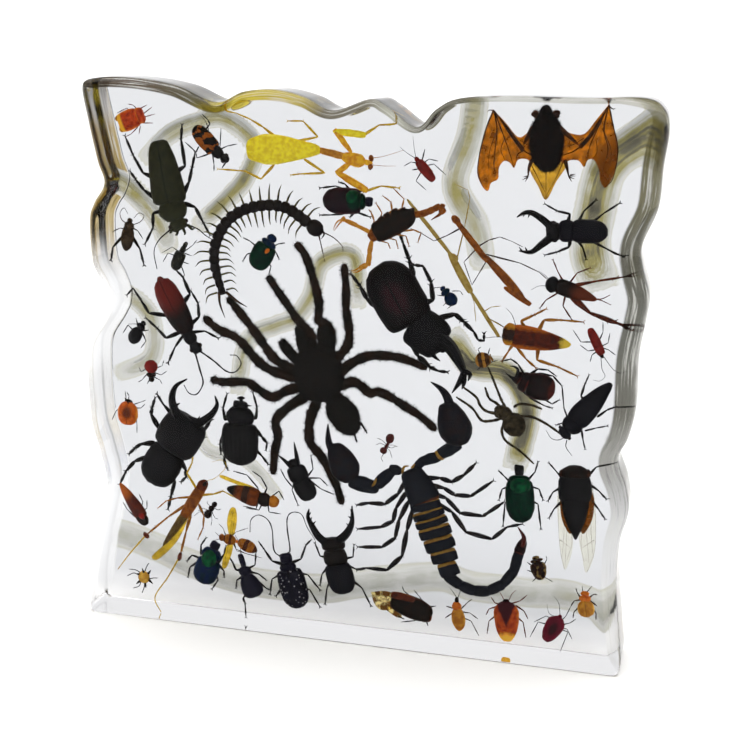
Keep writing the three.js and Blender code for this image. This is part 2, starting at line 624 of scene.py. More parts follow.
@dataclass
class Slab:
    """The cast slab: a fine grid for the carved back, rounded rims and a flat polished front.

    Sizes are in millimetres. The grid's rows and columns run from edge to edge of the wavy outline. The rims'
    radius is given at places around, in sides from the foot of the left edge. A valley's lip is wider than
    the valley by a share, it fades out at both ends, and low waves make the rest of the back uneven.
    """

    cells: int = 230
    knot_steps: int = 24
    rims: tuple[tuple[float, float], ...] = (
        (0, 5), (0.9, 6), (1, 5.5), (1.35, 5.5), (1.5, 4), (1.66, 2.6), (1.93, 3), (2.06, 10), (2.5, 11),
        (2.75, 8), (3, 6), (4, 5),
    )
    base_rim: float = 0.3
    flat_ring: float = 0.15
    rim_turns: tuple[float, ...] = (90, 80, 69, 58, 46, 34, 22, 11, 0)
    wall_rows: int = 4
    corner_reach: int = 4
    lip: float = 1.3
    fade: float = 16.0
    wave: float = 0.7
    wave_length: float = 61.0
    wave_skew: float = 0.8
    wave_phase: tuple[float, float] = (0.6, 1.1)
    course_steps: int = 12
    overlap: float = 0.15
    shade_spread: float = 0.6
    carve_reach: float = 0.7
    foot_carve: float = 0.75
    bend_share: float = 0.72
    foot_slope: float = 0.8
    radius_step: float = 0.05
    radius_passes: int = 5

    def build(self) -> Object:
        """Makes the slab and puts it in place of its plain solid.

        Returns:
            The slab's object.
        """
        bpy.ops.object.select_all(action="DESELECT")
        bpy.ops.mesh.primitive_grid_add(
            x_subdivisions=self.cells, y_subdivisions=self.cells, size=2, enter_editmode=True
        )
        bpy.ops.mesh.region_to_loop()
        rings = self.rings()
        for _ in rings:
            bpy.ops.mesh.extrude_edges_move(TRANSFORM_OT_translate={"value": (0, 0, 1)})
        bpy.ops.mesh.edge_face_add()
        bpy.ops.object.mode_set(mode="OBJECT")
        slab = bpy.context.object
        slab.name = "resin_slab"
        self.shape(slab.data, rings)
        bpy.ops.object.mode_set(mode="EDIT")
        bpy.ops.mesh.select_all(action="SELECT")
        bpy.ops.mesh.normals_make_consistent(inside=False)
        bpy.ops.mesh.select_all(action="DESELECT")
        bpy.ops.mesh.select_face_by_sides(number=4, type="GREATER")
        bpy.ops.mesh.quads_convert_to_tris(ngon_method="BEAUTY")
        bpy.ops.object.mode_set(mode="OBJECT")
        bpy.ops.object.shade_smooth()
        slab.data.materials.append(ClearResin().make())
        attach(slab, BODY)
        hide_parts(SLAB_NODE)
        return slab

    def rings(self) -> list[tuple[float, float, float]]:
        """Lists the rings from the back's edge to the front.

        Returns:
            For each ring its share of the rim's inset, its rim share and its wall share of the depth.
        """
        turns = [math.radians(turn) for turn in self.rim_turns]
        back = [(1 - math.cos(turn), 1 - math.sin(turn), 0.0) for turn in turns[1:]]
        wall = [(0.0, 1.0, row / self.wall_rows) for row in range(1, self.wall_rows)]
        front = [(inset, -down, 1.0) for inset, down, _ in reversed(back)]
        return [*back, *wall, *front, (1.0, 0.0, 1.0), (1.0 + self.flat_ring, 0.0, 1.0)]

    def outline(self) -> np.ndarray:
        """Works out the outline.

        Returns:
            Its points up the left edge, across the top, down the right edge and back along the base.
        """
        width, height = HALF_WIDTH / MM, SLAB_HEIGHT / MM
        left = [(inset - width, up) for inset, up in LEFT_EDGE]
        top = [(across, height - drop) for across, drop in TOP_EDGE]
        right = [(width - inset, up) for inset, up in RIGHT_EDGE]
        edge = spline(np.array([*left, *top, *right], float), self.knot_steps)
        edge[:, 0] -= (edge[:, 0].min() + edge[:, 0].max()) / 2
        edge[:, 1] *= height / edge[:, 1].max()
        first = self.knot_steps * len(left)
        last = self.knot_steps * (len(left) + len(top) - 1)
        sides = (edge[: first + 1], edge[first : last + 1], edge[last:], edge[[-1, 0]])
        loop = np.vstack([evenly(side, self.cells)[:-1] for side in sides])
        for _ in range(self.corner_reach):
            eased = (np.roll(loop, 1, axis=0) + np.roll(loop, -1, axis=0)) / 2
            near = [(corner + step) % len(loop) for corner in (0, 3 * self.cells) for step in range(-3, 4)]
            loop[near] = eased[near]
        return loop

    def inward(self, loop: np.ndarray) -> tuple[np.ndarray, np.ndarray]:
        """Finds the way inwards and the rim's radius, which tight bends make smaller.

        Args:
            loop: The outline's points.

        Returns:
            Both for each point.
        """
        run = np.roll(loop, -2, axis=0) - np.roll(loop, 2, axis=0)
        run /= np.linalg.norm(run, axis=1)[:, None]
        way = np.stack([run[:, 1], -run[:, 0]], axis=1)
        turn = np.roll(run, -3, axis=0) - np.roll(run, 3, axis=0)
        reach = np.linalg.norm(np.roll(loop, -3, axis=0) - np.roll(loop, 3, axis=0), axis=1)
        bend = np.maximum(np.einsum("ij,ij->i", turn, way), 1e-6) / reach
        wanted = np.interp(np.arange(len(loop)) / self.cells, *zip(*self.rims))
        radius = np.minimum(wanted, self.bend_share / bend)
        base = loop[:, 1] < wanted
        radius[base] = np.minimum(radius[base], self.base_rim + self.foot_slope * loop[base, 1])
        for _ in range(self.radius_passes):
            eased = (np.roll(radius, 2) + radius + np.roll(radius, -2)) / 3
            radius = np.minimum(radius, eased + self.radius_step)
        return way, radius

    def valley_depth(self, places: np.ndarray) -> tuple[np.ndarray, np.ndarray]:
        """Works out the carving of the back.

        Args:
            places: Places across and up, in millimetres.

        Returns:
            How deep each place is carved, in millimetres, and how much painted shade it gets, 0 to 1.
        """
        swell = 2 * math.pi / self.wave_length
        across, up = swell * places[:, 0], self.wave_skew * swell * places[:, 1]
        waves = np.sin(across + self.wave_phase[0]) * np.sin(up + self.wave_phase[1])
        carved = self.wave * (1 + waves) / 2
        shade_share = np.zeros(len(places))
        for valley in VALLEYS:
            course = spline(np.array(valley.course, float), self.course_steps)
            run = np.hstack([0, np.cumsum(np.linalg.norm(np.diff(course, axis=0), axis=1))])
            fade = np.clip(np.minimum(run, run[-1] - run) / self.fade, 0, 1)
            depth = valley.depth * fade * fade * (3 - 2 * fade)
            gaps = np.linalg.norm(places[:, None, :] - course[None, :, :], axis=2)
            nearest = gaps.argmin(axis=1)
            gap = gaps[np.arange(len(places)), nearest] / (self.lip * valley.width / 2)
            cut = depth[nearest] * (1 + np.cos(math.pi * np.minimum(gap, 1))) / 2
            carved = np.maximum(carved, cut) + self.overlap * np.minimum(carved, cut)
            shade_share = np.maximum(shade_share, valley.painted_shade * (cut / valley.depth) ** self.shade_spread)
        return carved, shade_share

    def shape(self, mesh: bpy.types.Mesh, rings: list[tuple[float, float, float]]) -> None:
        """Moves the grid and its rings to the slab's real shape, and notes what the resin's finish reads.

        Args:
            mesh: The grid with its rings as they were extruded, one unit apart.
            rings: The rings' shares.
        """
        raw = np.empty(3 * len(mesh.vertices))
        mesh.vertices.foreach_get("co", raw)
        raw = raw.reshape(-1, 3)
        column = np.rint((raw[:, 0] + 1) / 2 * self.cells).astype(int)
        row = np.rint((raw[:, 1] + 1) / 2 * self.cells).astype(int)
        layer = np.rint(raw[:, 2]).astype(int)
        loop = self.outline()
        way, radius = self.inward(loop)
        n = self.cells
        spot = np.select(
            [column == 0, row == n, column == n], [row, n + column, 2 * n + n - row], 3 * n + n - column,
        )
        spot %= 4 * n
        made = np.array([(1.0, 0.0, 0.0), *rings])
        inset, rim, wall = made[layer].T
        flat = loop[spot] + way[spot] * (radius[spot] * inset)[:, None]
        thick = SLAB_DEPTH / MM
        behind = np.abs(rim) * radius[spot]
        deep = np.where(rim < 0, thick - behind, behind + wall * (thick - 2 * behind * (rim > 0)))
        inner = layer == 0
        sheet = loop + way * radius[:, None]
        flat[inner] = self.coons(sheet, column[inner] / n, row[inner] / n)
        deep[inner] = 0.0
        reach = np.clip(1 - deep / (self.carve_reach * thick), 0, 1)
        carved, shade_share = self.valley_depth(flat)
        carved *= reach * reach * (3 - 2 * reach)
        above_base = np.clip(flat[:, 1] / self.base_rim - 1, 0, 1)
        carved *= above_base * (1 - self.foot_carve) + self.foot_carve
        above_foot = np.clip(loop[spot][:, 1] / radius[spot] - 1, 0, 1)
        worked = np.where(inner, 0.0, 1 - np.clip(inset, 0, 1)) * above_foot
        around = np.where(inner, 0.0, spot / n)
        note = mesh.attributes.new(SLAB_WORK, "FLOAT_VECTOR", "POINT")
        note.data.foreach_set("vector", np.stack([worked, around, shade_share * (wall < 0.5)], axis=1).ravel())
        final = np.stack([flat[:, 0] * MM, BACK - (deep + carved) * MM, flat[:, 1] * MM], axis=1)
        mesh.vertices.foreach_set("co", final.ravel())
        mesh.update()

    def coons(self, loop: np.ndarray, across: np.ndarray, up: np.ndarray) -> np.ndarray:
        """Places inside a closed outline whose four sides have equal cells.

        Args:
            loop: The outline: left side up, top, right side down, base back.
            across: For each place, how far it is from the left side to the right, 0 to 1.
            up: The same from base to top.

        Returns:
            Each place across and up, in millimetres.
        """
        n = self.cells
        ring = np.vstack([loop, loop[:1]])
        left, top = ring[: n + 1], ring[n : 2 * n + 1]
        right, base = ring[2 * n : 3 * n + 1][::-1], ring[3 * n :][::-1]
        i, j = np.rint(across * n).astype(int), np.rint(up * n).astype(int)
        s, t = across[:, None], up[:, None]
        sides = (1 - s) * left[j] + s * right[j] + (1 - t) * base[i] + t * top[i]
        lower = (1 - s) * (1 - t) * left[0] + s * (1 - t) * right[0]
        return sides - lower - (1 - s) * t * left[n] - s * t * right[n]


# ---------------------------------------------------------------------------------------- finishes of animals


class Relief(Enum):
    """How a shell's surface is marked by hand or under a lens."""

    SMOOTH = "smooth"
    PITTED = "pitted"
    RIDGED = "ridged"
    WRINKLED = "wrinkled"


class Marking(Enum):
    """The pattern on a shell. On two shells the centre mark is painted light: a painted sheen on the
    rhinoceros beetle and painted shade on the ladybird.
    """

    NONE = "none"
    BLOTCHES = "blotches"
    SPOTS = "spots"
    BARS = "bars"
    CENTRE = "centre"
    TIPS = "tips"
    ENDS = "ends"
    SCUTE = "scute"


# The markings: sizes in millimetres, and spans of the place or the noise in which each starts
SPOT_SIZE, SPOT_SPAN = 2.0, (0.25, 0.17)
BLOTCH_SIZE, BLOTCH_SPAN = 3.0, (0.5, 0.56)
SCUTE_SLOPE, SCUTE_SPAN = 0.75, (0.40, 0.56)
BAR_RATE, BAR_SPAN = 12.5, (0.1, 0.5)
CENTRE_PLACE, CENTRE_LENGTH, CENTRE_SPAN = 0.55, 3.0, (0.62, 0.25)
ENDS_SPAN, TIPS_SPAN = (0.13, 0.08), (0.3, 0.18)
WOBBLE_SIZE, EDGE_SIZE = 2.2, 1.5

# The reliefs: how deep each is, in millimetres, and how many ridges there are
RIDGE_RATE, RIDGE_DEPTH = 26.0, 0.16
PIT_SPAN, PIT_DEPTH = (0.1, 0.5), 0.1
WRINKLE_DEPTH, SMOOTH_DEPTH = 0.3, 0.12


@dataclass(frozen=True)
class Chitin:
    """Dried shell, limb or skin: a mottled colour, a thinner and lighter margin, a marking and a relief.

    The resin has nearly the same index as the shell, so its gloss is faint. Thin pieces let light through,
    which the glow stands for. A marking's sizes are in millimetres.
    """

    name: str
    colour: Colour
    mottle: Colour
    margin: Colour | None = None
    relief: Relief = Relief.PITTED
    marking: Marking = Marking.NONE
    mark: Colour = (0.6, 0.3, 0.05)
    grain: float = 0.9
    roughness: float = 0.42
    glow: float = 0.0
    metal: float = 0.0
    index: float = 1.22
    margin_from: float = 0.95
    tip: Colour | None = None
    tip_reach: float = 0.24
    mottle_span: Span = (0.36, 0.66)
    margin_width: float = 0.4
    seam_span: Span = (0.055, 0.02)
    seam_share: float = 0.75
    seam_dark: float = 0.25
    wear: float = 0.3

    def make(self) -> bpy.types.Material:
        """Builds the material, once for each finish.

        Returns:
            The material.
        """
        known = bpy.data.materials.get(self.name)
        if known:
            return known
        tree = Tree(self.name)
        across, cased, along = tree.noted(BODY_PLACE)
        lumps = tree.noise(self.grain * 2.5, 4.0)
        colour = tree.blend(lumps.rise(*self.mottle_span), self.colour, self.mottle)
        if self.margin:
            edge = across.size() + tree.noise(1.6) * 0.5
            thin = edge.rise(self.margin_from, self.margin_from + self.margin_width)
            colour = tree.blend(thin, colour, self.margin)
        if self.marking is not Marking.NONE:
            colour = tree.blend(self.mask(tree, across, along, lumps), colour, self.mark)
        if self.tip:
            rounded = along + across.size() * 0.10 - tree.noise(1.4) * 0.12
            colour = tree.blend(rounded.rise(self.tip_reach, 0.4 * self.tip_reach), colour, self.tip)
        seam = cased * across.size().rise(*self.seam_span) * self.seam_share
        colour = tree.blend(seam, colour, tuple(self.seam_dark * part for part in self.colour))
        inputs = {
            "Base Color": colour,
            "Roughness": self.roughness + (tree.noise(self.grain, 2.0) - 0.5) * self.wear,
            "Metallic": self.metal,
            "IOR": self.index,
            "Normal": self.normal(tree, across, lumps),
        }
        if self.glow:
            inputs["Emission Color"] = colour
            inputs["Emission Strength"] = self.glow
        return tree.finish(tree.add("ShaderNodeBsdfPrincipled", inputs=inputs))

    def normal(self, tree: Tree, across: Value, lumps: Value) -> Value:
        """Raises the surface's fine relief.

        Args:
            tree: The material's nodes.
            across: The place across the part.
            lumps: The mottling.

        Returns:
            The normal.
        """
        if self.relief is Relief.RIDGED:
            ridges = (across * RIDGE_RATE).math("SINE") * 0.5 + tree.noise(self.grain * 0.5) * 0.6
            return tree.bump(ridges, RIDGE_DEPTH)
        if self.relief is Relief.PITTED:
            return tree.bump(tree.cells(self.grain * 0.55).rise(*PIT_SPAN), PIT_DEPTH)
        if self.relief is Relief.WRINKLED:
            return tree.bump(tree.noise(self.grain * 0.8, 5.0, 0.7), WRINKLE_DEPTH)
        return tree.bump(lumps, SMOOTH_DEPTH)

    def mask(self, tree: Tree, across: Value, along: Value, lumps: Value) -> Value:
        """Finds where the marking lies.

        Args:
            tree: The material's nodes.
            across: The place across the part, -1 to 1.
            along: The place from its tail to its head, 0 to 1.
            lumps: The mottling.

        Returns:
            How much of the marking shows, 0 to 1.
        """
        if self.marking is Marking.SPOTS:
            return tree.cells(SPOT_SIZE).rise(*SPOT_SPAN)
        if self.marking is Marking.SCUTE:
            edge = along + tree.noise(WOBBLE_SIZE) * 0.16 - across.size() * SCUTE_SLOPE
            return edge.rise(*SCUTE_SPAN)
        if self.marking is Marking.BLOTCHES:
            return tree.noise(BLOTCH_SIZE, 2.0).rise(*BLOTCH_SPAN)
        if self.marking is Marking.BARS:
            wobble = tree.noise(WOBBLE_SIZE) * 0.10
            return ((along + wobble) * BAR_RATE).math("SINE").rise(*BAR_SPAN)
        if self.marking is Marking.CENTRE:
            ahead = along - CENTRE_PLACE
            far = (across * across + ahead * ahead * CENTRE_LENGTH).math("SQRT")
            return (far + (lumps - 0.5) * 0.5).rise(*CENTRE_SPAN)
        if self.marking is Marking.ENDS:
            return (along + tree.noise(EDGE_SIZE) * 0.05).rise(*ENDS_SPAN)
        return (along + tree.noise(EDGE_SIZE) * 0.06).rise(*TIPS_SPAN)


@dataclass(frozen=True)
class Membrane:
    """A wing or a stretched skin that lets light through, tinted, with thicker and darker patches, and a glow
    that is painted light shining through it.
    """

    name: str
    light: Colour
    skin: Colour
    cover: float = 0.35
    patch: float = 3.0
    # painted light: how brightly the skin glows with the light shining through it
    glow: float = 0.0
    contrast: float = 0.9

    def make(self) -> bpy.types.Material:
        """Builds the material, once for each finish.

        Returns:
            The material.
        """
        known = bpy.data.materials.get(self.name)
        if known:
            return known
        tree = Tree(self.name)
        patches = tree.noise(self.patch, 4.0)
        clear = tree.add("ShaderNodeBsdfTransparent", inputs={"Color": (*self.light, 1.0)})
        inputs = {
            "Base Color": tree.blend(patches, self.skin, tuple(0.6 * part for part in self.skin)),
            "Roughness": 0.5,
            "IOR": 1.2,
            # the emission is painted light shining through the skin
            "Emission Color": (*self.skin, 1.0),
            "Emission Strength": self.glow,
            "Normal": tree.bump(tree.noise(self.patch / 3, 3.0), 0.15),
        }
        solid = tree.add("ShaderNodeBsdfPrincipled", inputs=inputs)
        factor = (self.cover + (patches - 0.5) * self.contrast).rise(0.0, 1.0)
        mixed = tree.add("ShaderNodeMixShader", inputs={0: factor, 1: clear, 2: solid})
        return tree.finish(mixed)


BLACK = Chitin("black_shell", (0.0047, 0.0045, 0.0063), (0.009, 0.008, 0.0105))
BLACK_RIDGED = Chitin("black_ridged_shell", (0.005, 0.005, 0.006), (0.011, 0.01, 0.011), relief=Relief.RIDGED)
BLACK_LIMB = Chitin(
    "black_limb", (0.006, 0.0055, 0.0065), (0.014, 0.011, 0.009), relief=Relief.WRINKLED, grain=0.6,
)
WARM_BLACK = Chitin(
    "warm_black_shell", (0.008, 0.005, 0.004), (0.0225, 0.009, 0.005), margin=(0.12, 0.034, 0.012),
)
BROWN_LIMB = Chitin(
    "brown_limb", (0.075, 0.030, 0.010), (0.015, 0.007, 0.004), relief=Relief.WRINKLED, grain=0.6,
)
AMBER_LIMB = Chitin("amber_limb", (0.42, 0.17, 0.020), (0.22, 0.075, 0.010), relief=Relief.SMOOTH, glow=0.34)
YELLOW_LIMB = Chitin("yellow_limb", (0.66, 0.44, 0.030), (0.45, 0.25, 0.020), relief=Relief.SMOOTH, glow=0.41)
OLIVE = Chitin("olive_shell", (0.026, 0.029, 0.012), (0.046, 0.048, 0.019), relief=Relief.WRINKLED, grain=1.0)
DARK_RED = Chitin(
    "dark_red_shell", (0.011, 0.0045, 0.004), (0.03, 0.006, 0.0045), margin=(0.22, 0.022, 0.016),
    relief=Relief.RIDGED,
)
RED = Chitin("red_shell", (0.30, 0.018, 0.012), (0.15, 0.010, 0.008), margin=(0.40, 0.030, 0.015), glow=0.17)
RED_BROWN = Chitin(
    "red_brown_shell", (0.16, 0.030, 0.010), (0.07, 0.014, 0.007), margin=(0.45, 0.11, 0.02), glow=0.17,
)
BROWN = Chitin("brown_shell", (0.025, 0.014, 0.007), (0.085, 0.048, 0.020), margin=(0.13, 0.07, 0.025))
ORANGE = Chitin(
    "orange_shell", (0.62, 0.16, 0.015), (0.40, 0.075, 0.010), margin=(0.80, 0.28, 0.03), glow=0.41,
)
AMBER = Chitin("amber_shell", (0.50, 0.22, 0.025), (0.30, 0.10, 0.012), margin=(0.75, 0.42, 0.05), glow=0.48)
YELLOW = Chitin(
    "yellow_shell", (0.82, 0.69, 0.030), (0.66, 0.48, 0.020), margin=(0.92, 0.84, 0.12), glow=0.54,
)
GREEN_METAL = Chitin(
    "green_metal_shell", (0.003, 0.15, 0.045), (0.001, 0.030, 0.018), margin=(0.010, 0.17, 0.05), metal=0.5,
    index=1.2,
)
BLUE_METAL = Chitin(
    "blue_metal_shell", (0.005, 0.018, 0.085), (0.002, 0.022, 0.04), margin=(0.010, 0.05, 0.13), metal=0.5,
    index=1.2,
)
PURPLE_BROWN = Chitin(
    "purple_brown_shell", (0.0225, 0.005, 0.011), (0.01, 0.005, 0.01), margin=(0.10, 0.018, 0.03),
)
EYE = Chitin("eye", (0.01, 0.005, 0.004), (0.025, 0.01, 0.006), relief=Relief.PITTED, grain=0.25)
ORANGE_RED = Chitin(
    "orange_red_shell", (0.55, 0.060, 0.010), (0.26, 0.020, 0.006), margin=(0.80, 0.22, 0.02),
    marking=Marking.TIPS, mark=(0.85, 0.42, 0.03), glow=0.48,
)
ORANGE_SPOTTED = Chitin(
    "orange_spotted_shell", (0.008, 0.006, 0.006), (0.012, 0.008, 0.006), marking=Marking.BLOTCHES,
    mark=(0.55, 0.14, 0.015),
)
SPECKLED = Chitin(
    "speckled_shell", (0.015, 0.016, 0.012), (0.025, 0.025, 0.015), marking=Marking.SPOTS,
    mark=(0.13, 0.12, 0.07),
)
# The ladybird's dark centre mark is painted shade, for its thick middle letting less light through than its
# edges
LADYBIRD = Chitin(
    "ladybird_shell", (0.56, 0.11, 0.008), (0.34, 0.05, 0.006), margin=(0.80, 0.30, 0.03),
    marking=Marking.CENTRE, mark=(0.10, 0.018, 0.005), glow=0.50,
)
NAVY = Chitin("navy_shell", (0.0080, 0.0070, 0.024), (0.012, 0.010, 0.030))
LONGHORN = Chitin(
    "longhorn_shell", (0.009, 0.0045, 0.004), (0.022, 0.006, 0.0045), relief=Relief.RIDGED,
    tip=(0.22, 0.020, 0.014), tip_reach=0.7,
)
CRICKET = Chitin(
    "cricket_shell", (0.007, 0.0045, 0.004), (0.020, 0.008, 0.006), tip=(0.20, 0.038, 0.012), tip_reach=0.75,
)
RED_LIMB = Chitin("red_limb", (0.20, 0.022, 0.010), (0.09, 0.010, 0.006), relief=Relief.SMOOTH, glow=0.15)
WASP = Chitin(
    "wasp_shell", (0.42, 0.14, 0.012), (0.24, 0.07, 0.008), marking=Marking.BARS, mark=(0.07, 0.018, 0.005),
    glow=0.3,
)
ANT = Chitin("ant_shell", (0.15, 0.030, 0.024), (0.08, 0.015, 0.012))
LEAFHOPPER = Chitin(
    "leafhopper_shell", (0.13, 0.020, 0.008), (0.06, 0.010, 0.006), tip=(0.46, 0.10, 0.012), tip_reach=0.5,
    glow=0.22,
)
# A dark shell whose dark red centre mark is a painted sheen
DARK_SHELL_PAINTED_SHEEN = Chitin(
    "dark_painted_sheen_shell", (0.005, 0.0045, 0.0055), (0.009, 0.0045, 0.006), relief=Relief.SMOOTH,
    marking=Marking.CENTRE, mark=(0.028, 0.006, 0.010),
)
GREEN_DARK = Chitin("green_dark_shell", (0.001, 0.018, 0.012), (0.001, 0.050, 0.022), metal=0.5, index=1.2)
BLUE_BLACK = Chitin("blue_black_shell", (0.0043, 0.0044, 0.0097), (0.007, 0.006, 0.013))
REDDISH_BLACK = Chitin(
    "reddish_black_shell", (0.01, 0.0045, 0.006), (0.025, 0.007, 0.007), margin=(0.07, 0.012, 0.010),
    tip=(0.13, 0.02, 0.015),
)
STRIPED = Chitin(
    "striped_shell", (0.03, 0.011, 0.004), (0.10, 0.035, 0.010), marking=Marking.BARS,
    mark=(0.50, 0.22, 0.03), glow=0.20,
)
YELLOW_BLACK = Chitin(
    "yellow_black_shell", (0.02, 0.008, 0.005), (0.045, 0.012, 0.006), margin=(0.30, 0.15, 0.04),
    marking=Marking.BLOTCHES, mark=(0.34, 0.21, 0.06), grain=0.7,
)
WHITE_SPOTTED = Chitin(
    "white_spotted_shell", (0.0080, 0.0078, 0.022), (0.011, 0.010, 0.027), marking=Marking.SPOTS,
    mark=(0.62, 0.62, 0.66),
)
SPOTTED_AMBER = Chitin(
    "spotted_amber_shell", (0.66, 0.38, 0.05), (0.50, 0.24, 0.03), margin=(0.02, 0.01, 0.005), glow=0.41
)
YELLOW_ORANGE = Chitin(
    "yellow_orange_shell", (0.76, 0.42, 0.025), (0.55, 0.20, 0.015), margin=(0.88, 0.60, 0.06), glow=0.48,
)
STRAW = Chitin("straw_shell", (0.48, 0.34, 0.08), (0.32, 0.20, 0.04), relief=Relief.SMOOTH, glow=0.34)
AMBER_BROWN = Chitin(
    "amber_brown_shell", (0.30, 0.085, 0.010), (0.14, 0.035, 0.007), margin=(0.62, 0.26, 0.03), glow=0.31,
)
OLIVE_AMBER = Chitin(
    "olive_amber_shell", (0.16, 0.10, 0.02), (0.08, 0.04, 0.01), margin=(0.55, 0.36, 0.05), glow=0.20,
)
COCKROACH = Chitin(
    "cockroach_shell", (0.11, 0.014, 0.004), (0.045, 0.006, 0.003), margin=(0.52, 0.12, 0.010),
    tip=(0.88, 0.62, 0.06), tip_reach=0.16, margin_from=0.72, glow=0.27,
)
COCKROACH_SHIELD = Chitin(
    "cockroach_shield", (0.02, 0.008, 0.006), (0.05, 0.016, 0.008), margin=(0.66, 0.26, 0.02),
    margin_from=0.6, glow=0.17,
)
PALE = Chitin("pale_shell", (0.62, 0.58, 0.54), (0.45, 0.40, 0.36))
EMBER = Chitin(
    "ember_shell", (0.50, 0.075, 0.012), (0.28, 0.030, 0.010), margin=(0.80, 0.24, 0.02),
    marking=Marking.SCUTE, mark=(0.045, 0.006, 0.009), tip=(0.95, 0.50, 0.05), glow=0.41,
)
MAROON = Chitin(
    "maroon_shell", (0.20, 0.010, 0.030), (0.11, 0.007, 0.018), margin=(0.32, 0.016, 0.040),
    marking=Marking.CENTRE, mark=(0.04, 0.004, 0.009), glow=0.16,
)
HORNET = Chitin(
    "hornet_shell", (0.26, 0.055, 0.007), (0.12, 0.026, 0.005), marking=Marking.BARS,
    mark=(0.035, 0.010, 0.004), tip=(0.009, 0.007, 0.005), tip_reach=0.34, glow=0.16,
)
HORNET_HEAD = Chitin("hornet_head", (0.58, 0.20, 0.015), (0.30, 0.08, 0.010), glow=0.34)
BROWN_BLACK = Chitin("brown_black_shell", (0.0085, 0.0055, 0.0065), (0.017, 0.01, 0.008))
CENTIPEDE_LEG = Chitin("centipede_leg", (0.16, 0.14, 0.035), (0.03, 0.025, 0.009), relief=Relief.SMOOTH)
GOLD_SHELL = Chitin("gold_shell", (0.50, 0.28, 0.05), (0.30, 0.14, 0.03), glow=0.17)
SCORPION_BLUE = Chitin("scorpion_shell", (0.0085, 0.011, 0.020), (0.013, 0.015, 0.024), grain=1.2)
SCORPION_SHIELD = Chitin(
    "scorpion_shield", (0.0085, 0.011, 0.020), (0.013, 0.014, 0.021), marking=Marking.ENDS,
    mark=(0.16, 0.040, 0.012),
)
SCORPION_HAND = Chitin("scorpion_hand", (0.0080, 0.009, 0.016), (0.018, 0.010, 0.013), grain=1.6)
SCORPION_LEG = Chitin("scorpion_leg", (0.010, 0.010, 0.016), (0.030, 0.022, 0.018), relief=Relief.SMOOTH)
AMBER_SHELL_ARM = Chitin(
    "amber_arm", (0.60, 0.27, 0.03), (0.42, 0.15, 0.015), relief=Relief.SMOOTH, glow=0.41,
)
TARANTULA = Chitin(
    "tarantula_skin", (0.011, 0.01, 0.009), (0.018, 0.015, 0.012), relief=Relief.WRINKLED, roughness=0.8,
)
TARANTULA_LEG = Chitin(
    "tarantula_leg", (0.014, 0.01, 0.0075), (0.0325, 0.015, 0.008), relief=Relief.WRINKLED, roughness=0.8,
    grain=3.0,
)
DULL_BROWN = Chitin(
    "dull_brown_skin", (0.03, 0.022, 0.011), (0.10, 0.072, 0.036), relief=Relief.WRINKLED, roughness=0.7,
)
BAT_FUR = Chitin(
    "bat_fur", (0.006, 0.0045, 0.0055), (0.015, 0.007, 0.005), relief=Relief.WRINKLED, roughness=0.85,
)
BAT_EAR = Chitin("bat_ear", (0.12, 0.035, 0.012), (0.03, 0.009, 0.004), margin=(0.25, 0.08, 0.02))
BAT_BONE = Chitin("bat_bone", (0.03, 0.01, 0.004), (0.11, 0.035, 0.010), relief=Relief.SMOOTH)
CICADA_WING = Membrane("cicada_wing", (0.97, 0.96, 0.90), (0.50, 0.42, 0.16), cover=0.05, contrast=0.3)
AMBER_WING = Membrane("amber_wing", (0.70, 0.36, 0.07), (0.24, 0.09, 0.012), cover=0.55)
MOTTLED_WING = Membrane(
    "mottled_wing", (1.0, 0.90, 0.58), (0.42, 0.15, 0.02), cover=0.46, patch=2.6, contrast=3.2,
)
YELLOW_WING = Membrane("yellow_wing", (0.93, 0.76, 0.20), (0.70, 0.46, 0.06), cover=0.24, glow=0.1)
BAT_WING = Membrane(
    "bat_wing", (0.90, 0.50, 0.09), (0.34, 0.10, 0.010), cover=0.40, patch=4.0, glow=0.10, contrast=1.3,
)
BAT_TAIL = Membrane("bat_tail_skin", (0.92, 0.68, 0.20), (0.58, 0.28, 0.04), cover=0.30, patch=5.0, glow=0.06)


# ---------------------------------------------------------------------------------------- the modelling bench

Ring = tuple[float, float, float]

PIXELS_PER_MM = 2.0  # of the widths as seen
ROUNDING_LOSS = 1.04  # subdivision draws a loft in by this much
UNDERSIDE = 0.7  # how thick a part is below its middle, as a share of what it is above
SEAM_WIDTH = 0.05  # of half a part's width
JOINT_PLACES = np.array([0.0, 0.06, 0.2, 0.42, 0.66, 0.86, 0.95])  # along one stretch of a leg
JOINT_SWELL = np.array([0.50, 0.84, 1.10, 1.24, 1.12, 0.94, 0.78])  # the stretch's thickness there
FOOT_BEADS = 0.22  # how much the beads of a foot stand out
LEG_BUMPS = 0.09  # how uneven a leg is
SPUR_TAPER = np.array([0.13, 0.085, 0.02])  # a spine's radii, as shares of the leg's thickness
SPURRED = 1.1  # how thick a leg is, in millimetres, to have spines
LEG_BOW, BOW = 1.6, 0.8  # how far a limb rises, as shares of its thickness
TIP_SINK = 1.2  # how far its tip sinks, as a share of that
OVERLAP = (1.05, 1.08)  # how far a beetle's wing cases and its shield reach under the next part
EYE_PLACE = 0.45  # the eyes' place along the head


